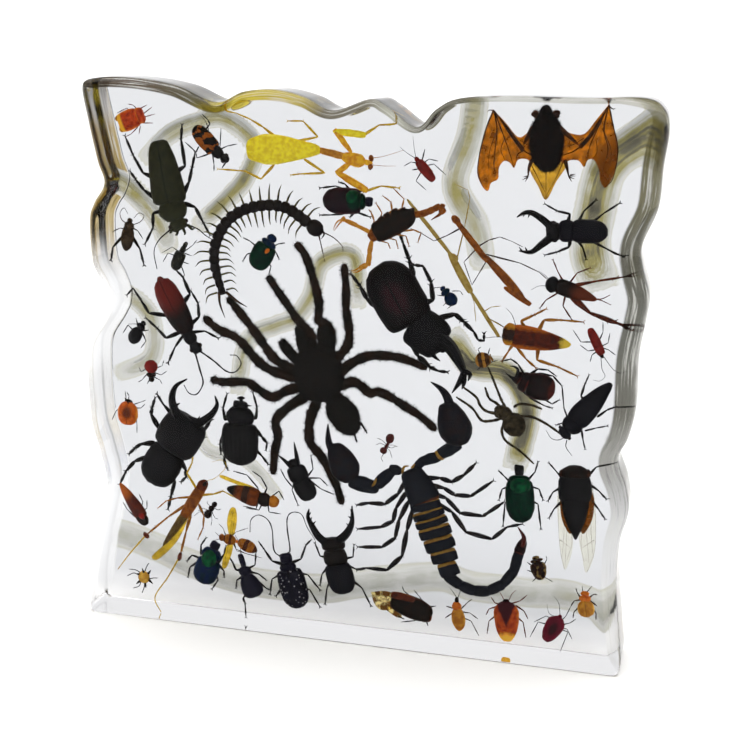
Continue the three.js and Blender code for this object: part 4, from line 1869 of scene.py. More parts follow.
BEETLES = (
    Beetle(
        "olive_beetle", 14, ((158, 140), (170, 201), (176, 219), (181, 230)), (17.2, 14.6, 8.6), OLIVE,
        (
            ((153, 177), (143, 173), (133, 155), (125, 136)),
            ((176, 172), (185, 166), (181, 139), (182, 125)),
            ((156, 199), (144, 190), (136, 180), (130, 171)),
            ((184, 192), (189, 182), (192, 168), (195, 153)),
            ((162, 211), (153, 213), (153, 228), (145, 244)),
            ((186, 204), (195, 207), (203, 222), (210, 235)),
        ),
        leg=2.3, forms=(Form.WEDGE, Form.COLLAR, Form.SQUARE), feeler=1.0,
        feelers=(
            ((171, 229), (159, 240), (154, 252), (157, 269)),
            ((186, 224), (198, 229), (205, 235), (213, 240)),
        ),
        horns=(
            horns(
                1.9, ((173, 227), (171, 232), (169, 233)), ((178, 229), (177, 234), (175, 235)), finish=OLIVE,
            ),
            horns(
                1.7, ((183, 228), (185, 233), (184, 235)), ((188, 225), (192, 229), (195, 228)), finish=OLIVE,
            ),
        ),
        eye=0.9,
    ),
    Beetle(
        "orange_spotted_beetle", 13, ((194, 127), (214, 149), (221, 156), (229, 161)), (8.6, 6.0, 4.4),
        ORANGE_SPOTTED,
        (
            ((202, 134), (210, 124), (208, 120), (202, 114)), ((213, 149), (220, 147), (221, 128)),
            ((219, 150), (227, 146), (237, 144)), ((198, 148), (196, 152), (185, 142)),
            ((206, 155), (197, 158), (196, 153)), ((213, 157), (214, 164), (214, 171)),
            ((226, 162), (222, 168)),
        ),
        leg=1.0, shield=BLACK, feelers=(((209, 132), (206, 122), (200, 115)),), eye=0.5,
    ),
    Beetle(
        "purple_flower_beetle", 14, ((323, 200), (359, 201.5), (365, 201.5), (373, 202)), (13.4, 8.6, 5.0),
        PURPLE_BROWN,
        (
            ((345, 190), (336, 186), (320, 188)), ((350, 190), (345, 184), (339, 182)),
            ((357, 192), (364, 190)), ((341, 214), (330, 215), (320, 215)), ((353, 214), (350, 217)),
            ((359, 213), (370, 217)),
        ),
        leg=1.6, shield=GREEN_DARK, face=NAVY, forms=(Form.EGG, Form.COLLAR, Form.SQUARE),
        extras=(
            Part(Form.DISC, (344, 200), (361, 201), 5.4, GREEN_DARK, 0.5, lift=1.8),
            Part(Form.ROUND, (346, 196), (357, 198), 3.2, GREEN_METAL, 0.5, lift=3.8),
        ),
    ),
    Beetle(
        "green_blue_beetle", 14, ((255, 268.5), (267, 246), (270.5, 241), (274, 235)), (11.6, 8.4, 5.4),
        GREEN_DARK,
        (
            ((257, 247), (250, 241), (244, 238)), ((272, 247), (278, 244), (284, 243)),
            ((270, 251), (276, 252), (279, 259)), ((268, 263), (271, 266), (269, 274)),
            ((253, 253), (247, 254), (243, 261)),
        ),
        leg=1.2, shield=BLUE_METAL, face=BLUE_METAL, forms=(Form.EGG, Form.COLLAR, Form.HEAD),
        extras=(Part(Form.ROUND, (265, 253), (269, 249), 0.9, ORANGE, lift=3.4),),
    ),
    Beetle(
        "speckled_weevil", 12, ((174, 270), (181, 253), (184, 247), (187, 242)), (6.0, 3.0, 2.5), SPECKLED,
        (
            ((180, 252), (172, 247), (162, 253)), ((176, 256), (168, 253), (163, 262)),
            ((184, 253), (192, 256)), ((183, 262), (189, 264)), ((185, 251), (193, 245), (197, 240)),
            ((181, 265), (185, 276)),
        ),
        leg=0.7,
    ),
    Beetle(
        "dark_red_longhorn", 14, ((160, 279.5), (187, 331), (193, 343), (199, 353)), (12.4, 6.8, 5.2),
        LONGHORN,
        (
            ((164, 315), (149, 313), (141, 300), (133, 288), (127, 295)),
            ((183, 303), (190, 294), (183, 277), (176, 270)),
            ((178, 333), (166, 338), (158, 329), (146, 318)),
            ((191, 324), (199, 317), (198, 303), (191, 291)), ((182, 337), (175, 347), (168, 363)),
            ((194, 332), (205, 331), (218, 338)),
        ),
        leg=2.2, shield=BLACK, forms=(Form.CASE, Form.COLLAR, Form.SQUARE), feeler=1.2,
        feelers=(
            ((195, 352), (200, 370), (203, 383), (197, 394), (189, 393), (184, 385)),
            ((200, 351), (214, 361), (226, 371), (235, 372), (241, 364), (237, 356), (230, 355)),
        ),
        extras=(
            Part(Form.ROUND, (158, 277), (166, 288), 2.2, RED_LIMB),
            Part(Form.ROUND, (166, 278), (170, 290), 2.0, RED_LIMB),
        ),
        eye=0.9,
    ),
    Beetle(
        "small_black_beetle", 13, ((131, 343), (139.5, 328.5), (142.5, 324.5), (145, 321.5)), (7.0, 4.8, 3.0),
        BLACK,
        (
            ((134, 331), (128, 325), (123, 333)), ((138, 326), (136, 318)), ((142, 331), (149, 330)),
            ((143, 334), (146, 341), (141, 348)),
        ),
        leg=0.9, forms=(Form.ROUND, Form.COLLAR, Form.HEAD), feelers=(((143, 325), (136, 324), (128, 324)),),
    ),
    Beetle(
        "red_backed_beetle", 13, ((151, 360), (151, 372.5), (151.4, 377), (151.6, 382)), (6.8, 5.0, 3.0), RED,
        (
            ((146, 369), (141, 372), (139, 367)), ((147, 374), (142, 380), (138, 382)),
            ((156, 368), (162, 366), (164, 360)), ((156, 373), (161, 375), (167, 371)),
            ((154, 377), (160, 380), (162, 384)), ((150, 379), (147, 384)),
        ),
        leg=0.7, shield=WARM_BLACK, face=WARM_BLACK, forms=(Form.ROUND, Form.COLLAR, Form.HEAD),
    ),
    Beetle(
        "ladybird", 13, ((127.5, 425.0), (128.3, 402.6), (129.0, 402.0), (129.8, 399.6)), (10.2, 6.0, 4.0),
        LADYBIRD,
        (
            ((120, 408), (116, 411), (112, 420)), ((125, 404), (126, 397), (125, 391)),
            ((135, 404), (141, 402), (146, 400)), ((137, 408), (141, 408), (145, 404)),
            ((136, 417), (137, 424), (137, 433)), ((128, 404), (129, 396), (127, 392)),
        ),
        leg=0.8, shield=WARM_BLACK, face=WARM_BLACK, forms=(Form.DISC, Form.COLLAR, Form.HEAD),
        slot=Slot.AMBER,
    ),
    Beetle(
        "three_horned_beetle", 16, ((151, 483), (170, 451), (190, 420), (191, 416)), (19.4, 23.6, 8.0), BLACK,
        (
            ((157, 425), (151, 414), (152, 408), (155, 398)), ((170, 412), (163, 404), (157, 394)),
            ((152, 443), (141, 444), (135, 448), (129, 454)),
            ((144, 458), (135, 461), (126, 471), (120, 484)),
            ((186, 452), (196, 447), (204, 437), (201, 430)), ((205, 429), (211, 420)),
            ((180, 460), (186, 470), (186, 477), (181, 482)),
            ((171, 476), (175, 481), (171, 496), (168, 509)),
        ),
        leg=2.7, forms=(Form.EGG, Form.SQUARE, Form.SQUARE),
        horns=(
            horns(5.2, ((180, 421), (175, 411), (172, 398), (176, 386), (187, 379)), lift=2.5),
            horns(1.8, ((175, 406), (180, 403)), ((196, 423), (200, 416)), lift=2.5),
            horns(5.0, ((192, 428), (203, 421), (212, 414), (217, 405), (215, 396)), lift=2.5),
        ),
    ),
    Beetle(
        "black_scarab", 14, ((240, 465), (240, 425), (240.5, 408), (241, 401)), (18.4, 14.4, 7.6),
        BLACK_RIDGED,
        (
            ((232, 415), (225, 420), (223, 408), (227, 394)),
            ((249, 414), (256, 419), (257, 407), (253, 393)),
            ((226, 430), (223, 435), (220, 444), (221, 454)),
            ((255, 429), (262, 437), (267, 443), (266, 450)),
            ((227, 452), (224, 459), (226, 466), (228, 470)), ((255, 449), (262, 456), (268, 464)),
        ),
        leg=2.2, shield=BLACK, forms=(Form.EGG, Form.COLLAR, Form.SQUARE),
        horns=(
            horns(
                2.2, ((241, 404), (241, 399), (241, 397)), ((241, 398), (237, 398)), ((241, 398), (245, 398)),
                lift=1.5,
            ),
            horns(1.4, ((238, 405), (230, 408)), ((244, 405), (252, 406))),
        ),
    ),
    Beetle(
        "rhinoceros_beetle", 18, ((379, 264), (411, 322), (441, 343), (449, 349)), (26.0, 21.6, 8.0),
        DARK_SHELL_PAINTED_SHEEN,
        (
            ((413, 283), (414, 276), (409, 259), (403, 243), (400, 234)),
            ((424, 303), (433, 300), (431, 282), (423, 266), (414, 265)),
            ((374, 304), (367, 299), (360, 286), (351, 274)),
            ((414, 346), (418, 356), (430, 367), (438, 371), (447, 372)),
            ((440, 318), (455, 314), (464, 322), (474, 332), (478, 340), (484, 341), (484, 334)),
        ),
        leg=3.4, shield=BLACK, forms=(Form.EGG, Form.SQUARE, Form.HEAD),
        horns=(
            horns(7.4, ((440, 338), (450, 347), (457, 358), (463, 370), (465, 378)), lift=3.0),
            horns(3.6, ((464, 374), (459, 383), (452, 393)), ((463, 374), (464, 382), (462, 389)), lift=3.0),
            horns(3.4, ((463, 371), (470, 374), (468, 381)), ((430, 346), (433, 355), (440, 361)), lift=2.0),
            horns(2.0, ((436, 352), (440, 350), (438, 346)), lift=2.0),
        ),
    ),
    Beetle(
        "tiny_blue_beetle", 12, ((455, 305), (447, 294), (444, 290), (441, 287)), (6.6, 5.0, 3.0), BLUE_METAL,
        (
            ((447, 291), (441, 287), (435, 288)), ((444, 296), (437, 295)), ((448, 301), (443, 306)),
            ((452, 305), (447, 309)), ((454, 291), (460, 291), (463, 295)),
        ),
        leg=0.6, forms=(Form.ROUND, Form.COLLAR, Form.HEAD),
    ),
    Beetle(
        "large_stag_beetle", 14, ((608, 232), (574, 231), (560, 231), (546, 232)), (12.0, 11.4, 9.6),
        BLUE_BLACK,
        (
            ((568, 222), (570, 214), (557, 211), (545, 204)), ((579, 221), (584, 211), (596, 200)),
            ((593, 222), (604, 213), (620, 203)), ((570, 242), (569, 247), (557, 252), (545, 255)),
            ((579, 242), (583, 248), (586, 259)), ((594, 242), (607, 249), (620, 256)),
        ),
        leg=1.8, forms=(Form.EGG, Form.SQUARE, Form.SQUARE), face=BLACK,
        horns=(
            horns(
                4.0, ((551, 227), (542, 219), (532, 213), (524, 213), (517, 217)),
                ((550, 238), (541, 245), (531, 252), (519, 251)),
            ),
            horns(
                1.0, ((530, 213), (528, 218)), ((525, 213), (523, 217)), ((527, 251), (525, 247)),
                ((522, 251), (519, 247)),
            ),
        ),
        eye=0.6,
    ),
    Beetle(
        "striped_brown_beetle", 12, ((475.5, 361), (489.5, 359), (491, 359), (493, 358)), (7.8, 5.4, 3.0),
        STRIPED,
        (
            ((480, 354), (478, 349), (481, 347)), ((488, 354), (490, 348)), ((481, 367), (477, 370)),
            ((492, 362), (498, 360)), ((476, 362), (470, 362)),
        ),
        leg=0.6, forms=(Form.DISC, Form.COLLAR, Form.HEAD), slot=Slot.AMBER,
    ),
    Beetle(
        "small_stag_beetle", 14, ((555, 391), (529, 384), (521, 380), (515, 375)), (13.2, 10.4, 6.6),
        REDDISH_BLACK,
        (
            ((524, 374), (518, 364), (511, 359), (503, 361)),
            ((532, 373), (538, 369), (548, 370), (556, 376)),
            ((541, 374), (553, 376), (562, 386), (564, 408), (567, 415)), ((526, 394), (522, 390)),
            ((532, 399), (545, 406), (552, 408)), ((544, 399), (552, 404), (559, 400)),
        ),
        leg=1.3, forms=(Form.EGG, Form.SQUARE, Form.SQUARE),
        horns=(
            horns(
                2.0, ((517, 376), (518, 370), (515, 367), (510, 366)), ((515, 379), (511, 377), (506, 373)),
            ),
        ),
    ),
    Beetle(
        "black_jewel_beetle", 14, ((611, 383), (576, 421), (568, 430), (561, 436)), (12.4, 11.0, 7.6),
        BLUE_BLACK,
        (
            ((584, 400), (581, 396), (585, 384), (589, 375)),
            ((600, 415), (607, 410), (614, 407), (624, 407)), ((588, 430), (596, 428), (607, 426)),
            ((570, 424), (563, 423), (556, 425)), ((568, 420), (566, 414), (564, 408)),
            ((582, 433), (583, 440), (585, 449)),
        ),
        leg=1.4, forms=(Form.TAPERED, Form.PRONOTUM, Form.HEAD),
        feelers=(((566, 437), (558, 440), (551, 438), (546, 430)), ((567, 440), (566, 447), (572, 456))),
        eye=0.7,
    ),
    Beetle(
        "green_flower_beetle", 14, ((521, 522.5), (519.2, 482), (519, 475.5), (519, 466)), (14.5, 10.6, 4.6),
        GREEN_DARK,
        (
            ((511, 483), (504, 476), (499, 471)), ((528, 480), (535, 472), (538, 462)),
            ((510, 486), (502, 489), (499, 500)), ((529, 486), (539, 489), (543, 500)),
            ((510, 503), (505, 503), (503, 526)), ((530, 500), (538, 504), (541, 529)),
        ),
        leg=1.6, face=BLACK, forms=(Form.EGG, Form.COLLAR, Form.SQUARE),
        extras=(
            Part(Form.DISC, (520.5, 494), (520, 478), 5.2, GREEN_METAL, 0.5, lift=2.6),
            Part(Form.SQUARE, (519, 471), (519.5, 465), 2.5, BLACK),
        ),
    ),
    Beetle(
        "yellow_black_beetle", 13, ((541, 580), (537, 562), (536, 559), (535, 556)), (8.2, 6.6, 4.0),
        YELLOW_BLACK,
        (
            ((532, 566), (527, 562)), ((532, 572), (527, 570)), ((544, 565), (547, 559), (546, 556)),
            ((542, 576), (548, 579), (553, 582)), ((537, 577), (532, 582)),
        ),
        leg=0.7, forms=(Form.SHIELD, Form.COLLAR, Form.HEAD), slot=Slot.AMBER,
    ),
    Beetle(
        "yellow_beetle", 13, ((587, 617), (585, 601), (585, 596), (585, 591)), (8.6, 6.2, 4.6), AMBER,
        (
            ((579, 600), (574, 601), (571, 606)), ((580, 597), (577, 592), (576, 588)),
            ((578, 608), (574, 612), (573, 618)), ((590, 597), (594, 594), (597, 595)),
            ((592, 602), (597, 606)), ((593, 609), (596, 613), (596, 620)),
        ),
        leg=1.0, limb=BROWN_LIMB, face=ORANGE, shield=ORANGE, forms=(Form.DISC, Form.COLLAR, Form.HEAD),
        feelers=(((583, 592), (582, 586)), ((587, 592), (592, 586))), slot=Slot.AMBER,
    ),
    Beetle(
        "saw_jawed_stag_beetle", 14, ((345, 594), (337, 565), (334, 550), (332, 537)), (13.4, 11.8, 12.0),
        BLUE_BLACK,
        (
            ((325, 557), (320, 556), (315, 543)), ((348, 558), (353, 557), (354, 545)),
            ((327, 568), (322, 574), (320, 585)), ((349, 566), (356, 569), (364, 569)),
            ((330, 581), (327, 588), (325, 604)), ((352, 580), (362, 588), (371, 606)),
        ),
        leg=1.7, shield=BROWN_BLACK, forms=(Form.EGG, Form.SQUARE, Form.SQUARE),
        horns=(
            horns(
                4.8, ((325, 542), (318, 536), (312, 526), (308, 517), (309, 509)),
                ((339, 541), (347, 533), (352, 522), (352, 506)),
            ),
            horns(
                1.2, ((312, 525), (316, 521)), ((310, 521), (312, 517)), ((350, 527), (346, 523)),
                ((352, 519), (348, 516)),
            ),
            horns(
                1.0, ((309, 515), (311, 512)), ((352, 512), (350, 509)), ((320, 540), (322, 534)),
                ((345, 539), (343, 534)),
            ),
        ),
    ),
    Beetle(
        "white_spotted_longhorn", 25, ((299, 608), (289, 571), (287, 563), (285, 553)), (13.6, 8.4, 6.2),
        WHITE_SPOTTED,
        (
            ((282, 564), (272, 561), (264, 549), (259, 542)),
            ((291, 563), (301, 559), (306, 545), (311, 540)), ((281, 574), (272, 579), (270, 594)),
            ((295, 571), (308, 575), (320, 590)), ((282, 588), (276, 596)),
            ((302, 586), (310, 590), (320, 607)),
        ),
        leg=1.7, shield=NAVY, forms=(Form.EGG, Form.COLLAR, Form.SQUARE), feeler=1.0,
        feelers=(
            ((281, 557), (274, 550), (272, 529), (267, 519), (258, 515), (251, 520), (250, 532)),
            ((288, 553), (290, 549), (287, 527), (288, 516), (294, 512), (302, 515), (307, 527), (315, 540)),
        ),
    ),
    Beetle(
        "dark_blue_weevil", 13, ((256, 597), (246, 575), (244, 567), (240, 554)), (10.4, 6.4, 3.0), NAVY,
        (
            ((243, 570), (236, 570), (233, 563), (230, 558)), ((249, 568), (255, 565), (256, 552)),
            ((243, 576), (237, 580), (236, 588)), ((251, 572), (259, 574), (266, 580)),
            ((249, 592), (243, 598), (245, 603), (246, 617)), ((259, 582), (266, 588), (270, 590)),
        ),
        leg=1.6, forms=(Form.PEAR, Form.COLLAR, Form.SQUARE), feelers=(((241, 558), (240, 545), (235, 535)),),
    ),
    Beetle(
        "blue_green_scarab", 13, ((202, 583), (210, 560), (213, 549), (217, 542)), (12.5, 10.4, 5.2),
        BLUE_METAL,
        (
            ((201, 552), (201, 545), (206, 538)), ((197, 557), (192, 555), (187, 561)),
            ((196, 563), (190, 567), (188, 577)), ((219, 562), (224, 554), (226, 546)),
            ((219, 565), (224, 571), (224, 577)), ((215, 570), (218, 580), (212, 589)),
        ),
        leg=1.7, shield=BLUE_METAL, face=NAVY, forms=(Form.EGG, Form.COLLAR, Form.SQUARE),
        extras=(Part(Form.ROUND, (207, 568), (211, 550), 3.8, GREEN_METAL, 0.5, lift=2.6),),
    ),
    Beetle(
        "small_horned_beetle", 13, ((311, 500), (301, 481), (295, 467), (292, 459)), (9.8, 9.8, 6.8), BLACK,
        (
            ((290, 484), (285, 478), (281, 470)), ((308, 476), (313, 469), (311, 456)),
            ((294, 483), (292, 490), (298, 505)), ((310, 478), (320, 478), (327, 485)),
            ((312, 482), (321, 489), (333, 494)),
        ),
        leg=1.2, forms=(Form.EGG, Form.SQUARE, Form.HEAD),
        horns=(
            horns(2.6, ((298, 465), (296, 453), (294, 442)), ((291, 467), (284, 460), (278, 455)), lift=1.5),
        ),
    ),
)


# ----------------------------------------------------------------------------------- bugs, flies and the rest


def legs(width: float, finish: Chitin, *paths: Path) -> Limbs:
    """Legs of one thickness."""
    return Limbs(Limb.LEG, width, finish, paths, -0.6)


def feelers(width: float, finish: Chitin, *paths: Path) -> Limbs:
    """Feelers or bristles of one thickness."""
    return Limbs(Limb.FEELER, width, finish, paths)


OTHERS = (
    Insect(
        "orange_shield_bug", 13,
        (
            Part(Form.SQUARE, (119, 124), (139, 116), 5.2, ORANGE_RED),
            Part(Form.SQUARE, (136, 117), (144, 114), 4.2, ORANGE_RED),
            Part(Form.ROUND, (115, 119), (121, 118), 1.5, AMBER),
            Part(Form.ROUND, (120, 131), (124, 128), 1.5, AMBER),
        ),
        (
            legs(
                0.7, RED_LIMB, ((130, 111), (127, 108), (117, 113)), ((137, 109), (133, 105), (128, 104)),
                ((139, 109), (147, 105)), ((143, 114), (152, 107)), ((144, 117), (155, 114)),
                ((143, 123), (153, 123)), ((140, 128), (139, 134)), ((136, 129), (131, 134), (125, 137)),
            ),
        ),
        slot=Slot.AMBER,
    ),
    Insect(
        "yellow_mantis", 13,
        (
            Part(Form.SACK, (246, 149), (322, 150), 8.0, YELLOW, 0.42),
            Part(Form.SLENDER, (315, 149), (350, 158), 1.9, AMBER),
            Part(Form.SHIELD, (341, 156), (365, 162.5), 3.6, YELLOW_ORANGE),
            Part(Form.HEAD, (364, 162), (373, 163.5), 1.5, YELLOW_ORANGE),
            Part(Form.ROUND, (371, 155), (371.5, 162), 1.3, AMBER_BROWN),
            Part(Form.ROUND, (370, 170), (371, 163), 1.4, AMBER_BROWN),
            Part(Form.SLENDER, (352, 153), (334, 129), 1.5, YELLOW_ORANGE),
            Part(Form.SLENDER, (333, 131), (366, 135), 1.9, YELLOW),
            Part(Form.SLENDER, (351, 162), (336, 174), 1.5, YELLOW_ORANGE),
            Part(Form.SLENDER, (336, 172), (368, 191), 1.9, YELLOW_ORANGE),
        ),
        (
            legs(
                1.8, YELLOW_LIMB, ((364, 135), (379, 125), (397, 124)), ((366, 191), (381, 186), (399, 188)),
            ),
            legs(
                1.5, YELLOW_LIMB, ((298, 141), (318, 137), (303, 121), (288, 121)),
                ((307, 161), (325, 173), (298, 174), (291, 175)),
                ((277, 138), (263, 127), (250, 119), (236, 113), (224, 111)),
                ((272, 167), (261, 179), (245, 171), (218, 169)),
            ),
            feelers(
                0.35, AMBER_LIMB, ((373, 158), (385, 156), (404, 150)), ((373, 165), (385, 166), (396, 166)),
            ),
        ),
        slot=Slot.AMBER,
    ),
    Insect(
        "upper_red_bug", 13,
        (
            Part(Form.SLENDER, (434, 181), (418, 161), 2.7, RED),
            Part(Form.HEAD, (419, 162), (415, 157), 1.3, RED),
        ),
        (
            legs(
                0.8, BLACK_LIMB, ((422, 161), (425, 149)), ((425, 162), (429, 159), (438, 161)),
                ((429, 165), (434, 164), (446, 175)), ((417, 163), (411, 162), (404, 166)),
                ((418, 169), (412, 170)), ((420, 174), (416, 181), (426, 190)),
            ),
            feelers(
                0.4, BLACK_LIMB, ((415, 158), (407, 153), (400, 147)), ((416, 158), (414, 147), (413, 136)),
            ),
        ),
        slot=Slot.AMBER,
    ),
    Insect(
        "leaf_footed_bug", 13,
        (
            Part(Form.SPINDLE, (126, 251), (129, 224), 3.4, BROWN),
            Part(Form.COLLAR, (128.5, 229), (130, 222), 2.6, BROWN),
            Part(Form.HEAD, (129.5, 223), (130.5, 218), 1.4, BROWN),
        ),
        (
            legs(2.2, BLACK_LIMB, ((123, 236), (113, 247), (111, 260)), ((133, 238), (140, 249), (144, 265))),
            legs(0.9, BLACK_LIMB, ((125, 229), (120, 228), (112, 232)), ((133, 228), (138, 231), (143, 239))),
            feelers(
                0.6, BROWN_LIMB, ((128, 224), (122, 220), (120, 213), (124, 208), (128, 214)),
                ((132, 225), (140, 222), (144, 216), (139, 213), (134, 218)),
            ),
        ),
    ),
    Insect(
        "olive_stick_insect", 15,
        (
            Part(Form.SLENDER, (407, 199), (452, 256), 1.05, STRAW),
            Part(Form.SLENDER, (449, 252), (471, 293), 2.0, STRAW),
            Part(Form.SLENDER, (469, 289), (499, 337), 1.05, STRAW),
            Part(Form.ROUND, (450, 254), (458, 260), 1.5, STRAW),
        ),
        (
            legs(
                0.7, STRAW, ((457, 259), (465, 225), (470, 198), (468, 190), (455, 184)),
                ((471, 293), (474, 302), (476, 322)), ((485, 311), (491, 307), (501, 306)),
                ((488, 318), (505, 328)),
            ),
        ),
        slot=Slot.AMBER,
    ),
    Insect(
        "brown_stick_insect", 12,
        (
            Part(Form.SLENDER, (454, 218), (488, 262), 1.7, AMBER_BROWN),
            Part(Form.SPINDLE, (526, 301), (484, 255), 2.3, AMBER_BROWN),
            Part(Form.SLENDER, (504, 287), (531, 305), 1.5, AMBER_BROWN),
            Part(Form.ROUND, (452, 216), (460, 224), 1.9, AMBER_BROWN),
        ),
        (
            legs(
                0.8, BROWN_LIMB, ((479, 246), (489, 240), (500, 237), (511, 241), (523, 247)),
                ((478, 247), (464, 262), (472, 285)), ((484, 265), (478, 275), (472, 285)),
                ((489, 255), (520, 263), (539, 272), (548, 280)),
                ((459, 229), (446, 236), (434, 241), (421, 233), (410, 228)),
            ),
        ),
        slot=Slot.AMBER,
    ),
    Insect(
        "cricket", 14,
        (
            Part(Form.TAPERED, (597, 300), (556, 285), 4.2, CRICKET),
            Part(Form.ROUND, (559, 286), (545.5, 283), 4.2, BLACK),
        ),
        (
            legs(2.3, RED_BROWN, ((572, 286), (597, 281), (624, 277))),
            legs(3.8, RED_BROWN, ((572, 297), (590, 313), (622, 325))),
            legs(
                1.2, RED_BROWN, ((563, 281), (558, 272), (553, 260)), ((569, 284), (577, 273), (590, 268)),
                ((556, 294), (546, 300), (540, 308)), ((565, 297), (563, 306), (572, 320)),
            ),
            feelers(
                0.9, RED_BROWN, ((590, 298), (601, 299), (610, 295)), ((590, 299), (600, 300), (611, 305)),
            ),
            feelers(
                0.4, BLACK_LIMB, ((549, 281), (546, 276), (539, 271)), ((548, 286), (539, 286), (531, 290)),
            ),
        ),
    ),
    Insect(
        "cockroach", 14,
        (
            Part(Form.TAPERED, (571, 345), (510, 335), 6.2, COCKROACH, 0.4),
            Part(Form.DISC, (516.5, 335.5), (502.5, 333), 5.8, COCKROACH_SHIELD, 0.5),
        ),
        (
            legs(
                1.9, AMBER_LIMB, ((525, 328), (521, 321), (534, 315), (546, 309)),
                ((540, 328), (544, 320), (560, 320), (583, 322)), ((513, 344), (508, 352), (502, 361)),
                ((519, 350), (526, 359), (536, 368)), ((538, 350), (537, 360), (558, 367), (577, 376)),
            ),
            feelers(
                0.5, BROWN_LIMB, ((505, 328), (498, 323), (488, 318)), ((503, 337), (494, 337), (485, 338)),
                ((516, 326), (512, 315), (506, 308)),
            ),
        ),
        slot=Slot.AMBER,
    ),
    Insect(
        "lower_red_bug", 13,
        (
            Part(Form.SLENDER, (589.5, 328), (602, 355), 2.5, RED),
            Part(Form.COLLAR, (597, 347), (601, 354), 1.9, RED),
            Part(Form.HEAD, (600, 353), (603, 358), 1.2, DARK_RED),
        ),
        (
            legs(
                0.8, BLACK_LIMB, ((600, 339), (603, 332), (603, 322)), ((602, 346), (608, 343), (610, 333)),
                ((603, 348), (609, 350), (615, 355)), ((589, 342), (581, 342), (573, 330)),
                ((594, 350), (588, 351), (580, 345)), ((596, 352), (592, 355), (590, 362)),
            ),
            feelers(
                0.4, BLACK_LIMB, ((601, 358), (602, 369), (605, 376), (600, 381), (593, 380)),
                ((604, 357), (611, 367), (617, 373), (622, 371)),
            ),
        ),
        slot=Slot.AMBER,
    ),
    Insect(
        "cicada", 15,
        (
            Part(Form.CONE, (575.5, 540), (575, 492), 7.7, BLACK),
            Part(Form.SQUARE, (575, 503), (575, 474), 8.6, BLACK),
            Part(Form.CAP, (575, 478), (575, 465), 7.9, WARM_BLACK),
            Part(Form.ROUND, (560, 474), (564, 470), 1.3, WARM_BLACK),
            Part(Form.ROUND, (590, 474), (586, 470), 1.3, WARM_BLACK),
            Part(Form.ROUND, (562, 477), (566, 474), 0.9, PALE),
            Part(Form.ROUND, (588, 476), (584, 474), 0.9, PALE),
        ),
        (
            legs(
                1.6, BLACK_LIMB, ((562, 478), (556, 471), (549, 463)), ((590, 474), (596, 467), (605, 464)),
                ((560, 488), (553, 492), (548, 501)), ((592, 486), (599, 491), (606, 499)),
                ((560, 503), (554, 509), (549, 518)), ((593, 502), (599, 510), (605, 519)),
            ),
        ),
        (
            Wing(
                (
                    (561, 480), (557, 500), (559, 535), (561, 556), (565, 570), (571, 556), (573, 540),
                    (572, 510),
                ),
                CICADA_WING,
                (
                    ((560, 482), (558, 510), (560, 548), (565, 570)), ((562, 490), (567, 520), (565, 566)),
                    ((562, 496), (564, 530), (562, 558)), ((566, 516), (572, 540), (567, 560)),
                    ((560, 540), (571, 548)),
                ),
            ),
            Wing(
                (
                    (590, 480), (595, 500), (596, 530), (594, 556), (586, 573), (582, 556), (579, 540),
                    (580, 510),
                ),
                CICADA_WING,
                (
                    ((592, 482), (595, 510), (595, 548), (587, 572)), ((590, 490), (586, 520), (589, 564)),
                    ((591, 496), (591, 530), (593, 556)), ((587, 516), (581, 540), (584, 562)),
                    ((594, 540), (582, 548)),
                ),
            ),
            Wing(((562, 486), (560, 500), (562, 520), (571, 534), (573, 505)), AMBER_WING, lift=0.6),
            Wing(((590, 486), (594, 500), (592, 520), (582, 534), (578, 505)), AMBER_WING, lift=0.6),
        ),
    ),
    Insect(
        "orange_long_bug", 13,
        (
            Part(Form.SPINDLE, (460, 631), (457, 607), 3.5, AMBER),
            Part(Form.COLLAR, (457, 610), (456.5, 602), 2.4, ORANGE),
            Part(Form.HEAD, (456.5, 603), (457, 597), 1.1, WARM_BLACK),
        ),
        (
            legs(
                0.9, BROWN_LIMB, ((462, 608), (467, 603), (472, 599)), ((463, 612), (470, 613), (478, 619)),
                ((464, 618), (471, 621), (479, 636)), ((452, 608), (446, 606)), ((451, 614), (445, 618)),
            ),
            feelers(
                0.5, BLACK_LIMB, ((457, 598), (453, 592), (450, 588)), ((458, 598), (461, 590), (466, 587)),
            ),
        ),
        slot=Slot.AMBER,
    ),
    Insect(
        "red_brown_shield_bug", 26,
        (
            Part(Form.SHIELD, (507, 641.5), (506, 601), 6.5, EMBER, 0.5),
            Part(Form.HEAD, (506, 605), (506, 599), 2.0, REDDISH_BLACK),
        ),
        (
            legs(
                1.1, RED_BROWN, ((499, 604), (495, 603), (491, 597)), ((513, 603), (520, 601), (527, 595)),
                ((495, 607), (489, 609), (486, 615)), ((518, 607), (524, 611), (528, 619)),
                ((494, 617), (489, 621), (487, 634)), ((518, 618), (523, 622), (526, 638)),
            ),
            feelers(
                0.5, RED_BROWN, ((504, 600), (501, 594), (499, 592)), ((509, 600), (512, 594), (516, 590)),
            ),
        ),
        slot=Slot.AMBER,
    ),
    Insect(
        "dark_red_bug", 13,
        (
            Part(Form.SHIELD, (545, 641), (560, 617), 4.9, MAROON),
            Part(Form.HEAD, (557, 621), (561, 615), 1.4, MAROON),
        ),
        (
            legs(
                0.8, BLACK_LIMB, ((553, 619), (546, 616), (534, 622)), ((546, 624), (538, 622), (530, 637)),
                ((560, 622), (566, 616), (571, 606)), ((561, 625), (570, 623), (576, 619)),
                ((561, 628), (567, 629), (572, 639)), ((560, 629), (568, 632), (560, 652)),
            ),
            feelers(
                0.4, BLACK_LIMB, ((556, 617), (549, 613), (547, 604)), ((560, 616), (559, 604), (554, 596)),
            ),
        ),
        slot=Slot.AMBER,
    ),
    Insect(
        "mottled_wing_hopper", 24,
        (
            Part(Form.SLENDER, (391, 599), (428, 614), 5.6, WARM_BLACK),
            Part(Form.ROUND, (420, 611), (432, 616), 4.6, WARM_BLACK),
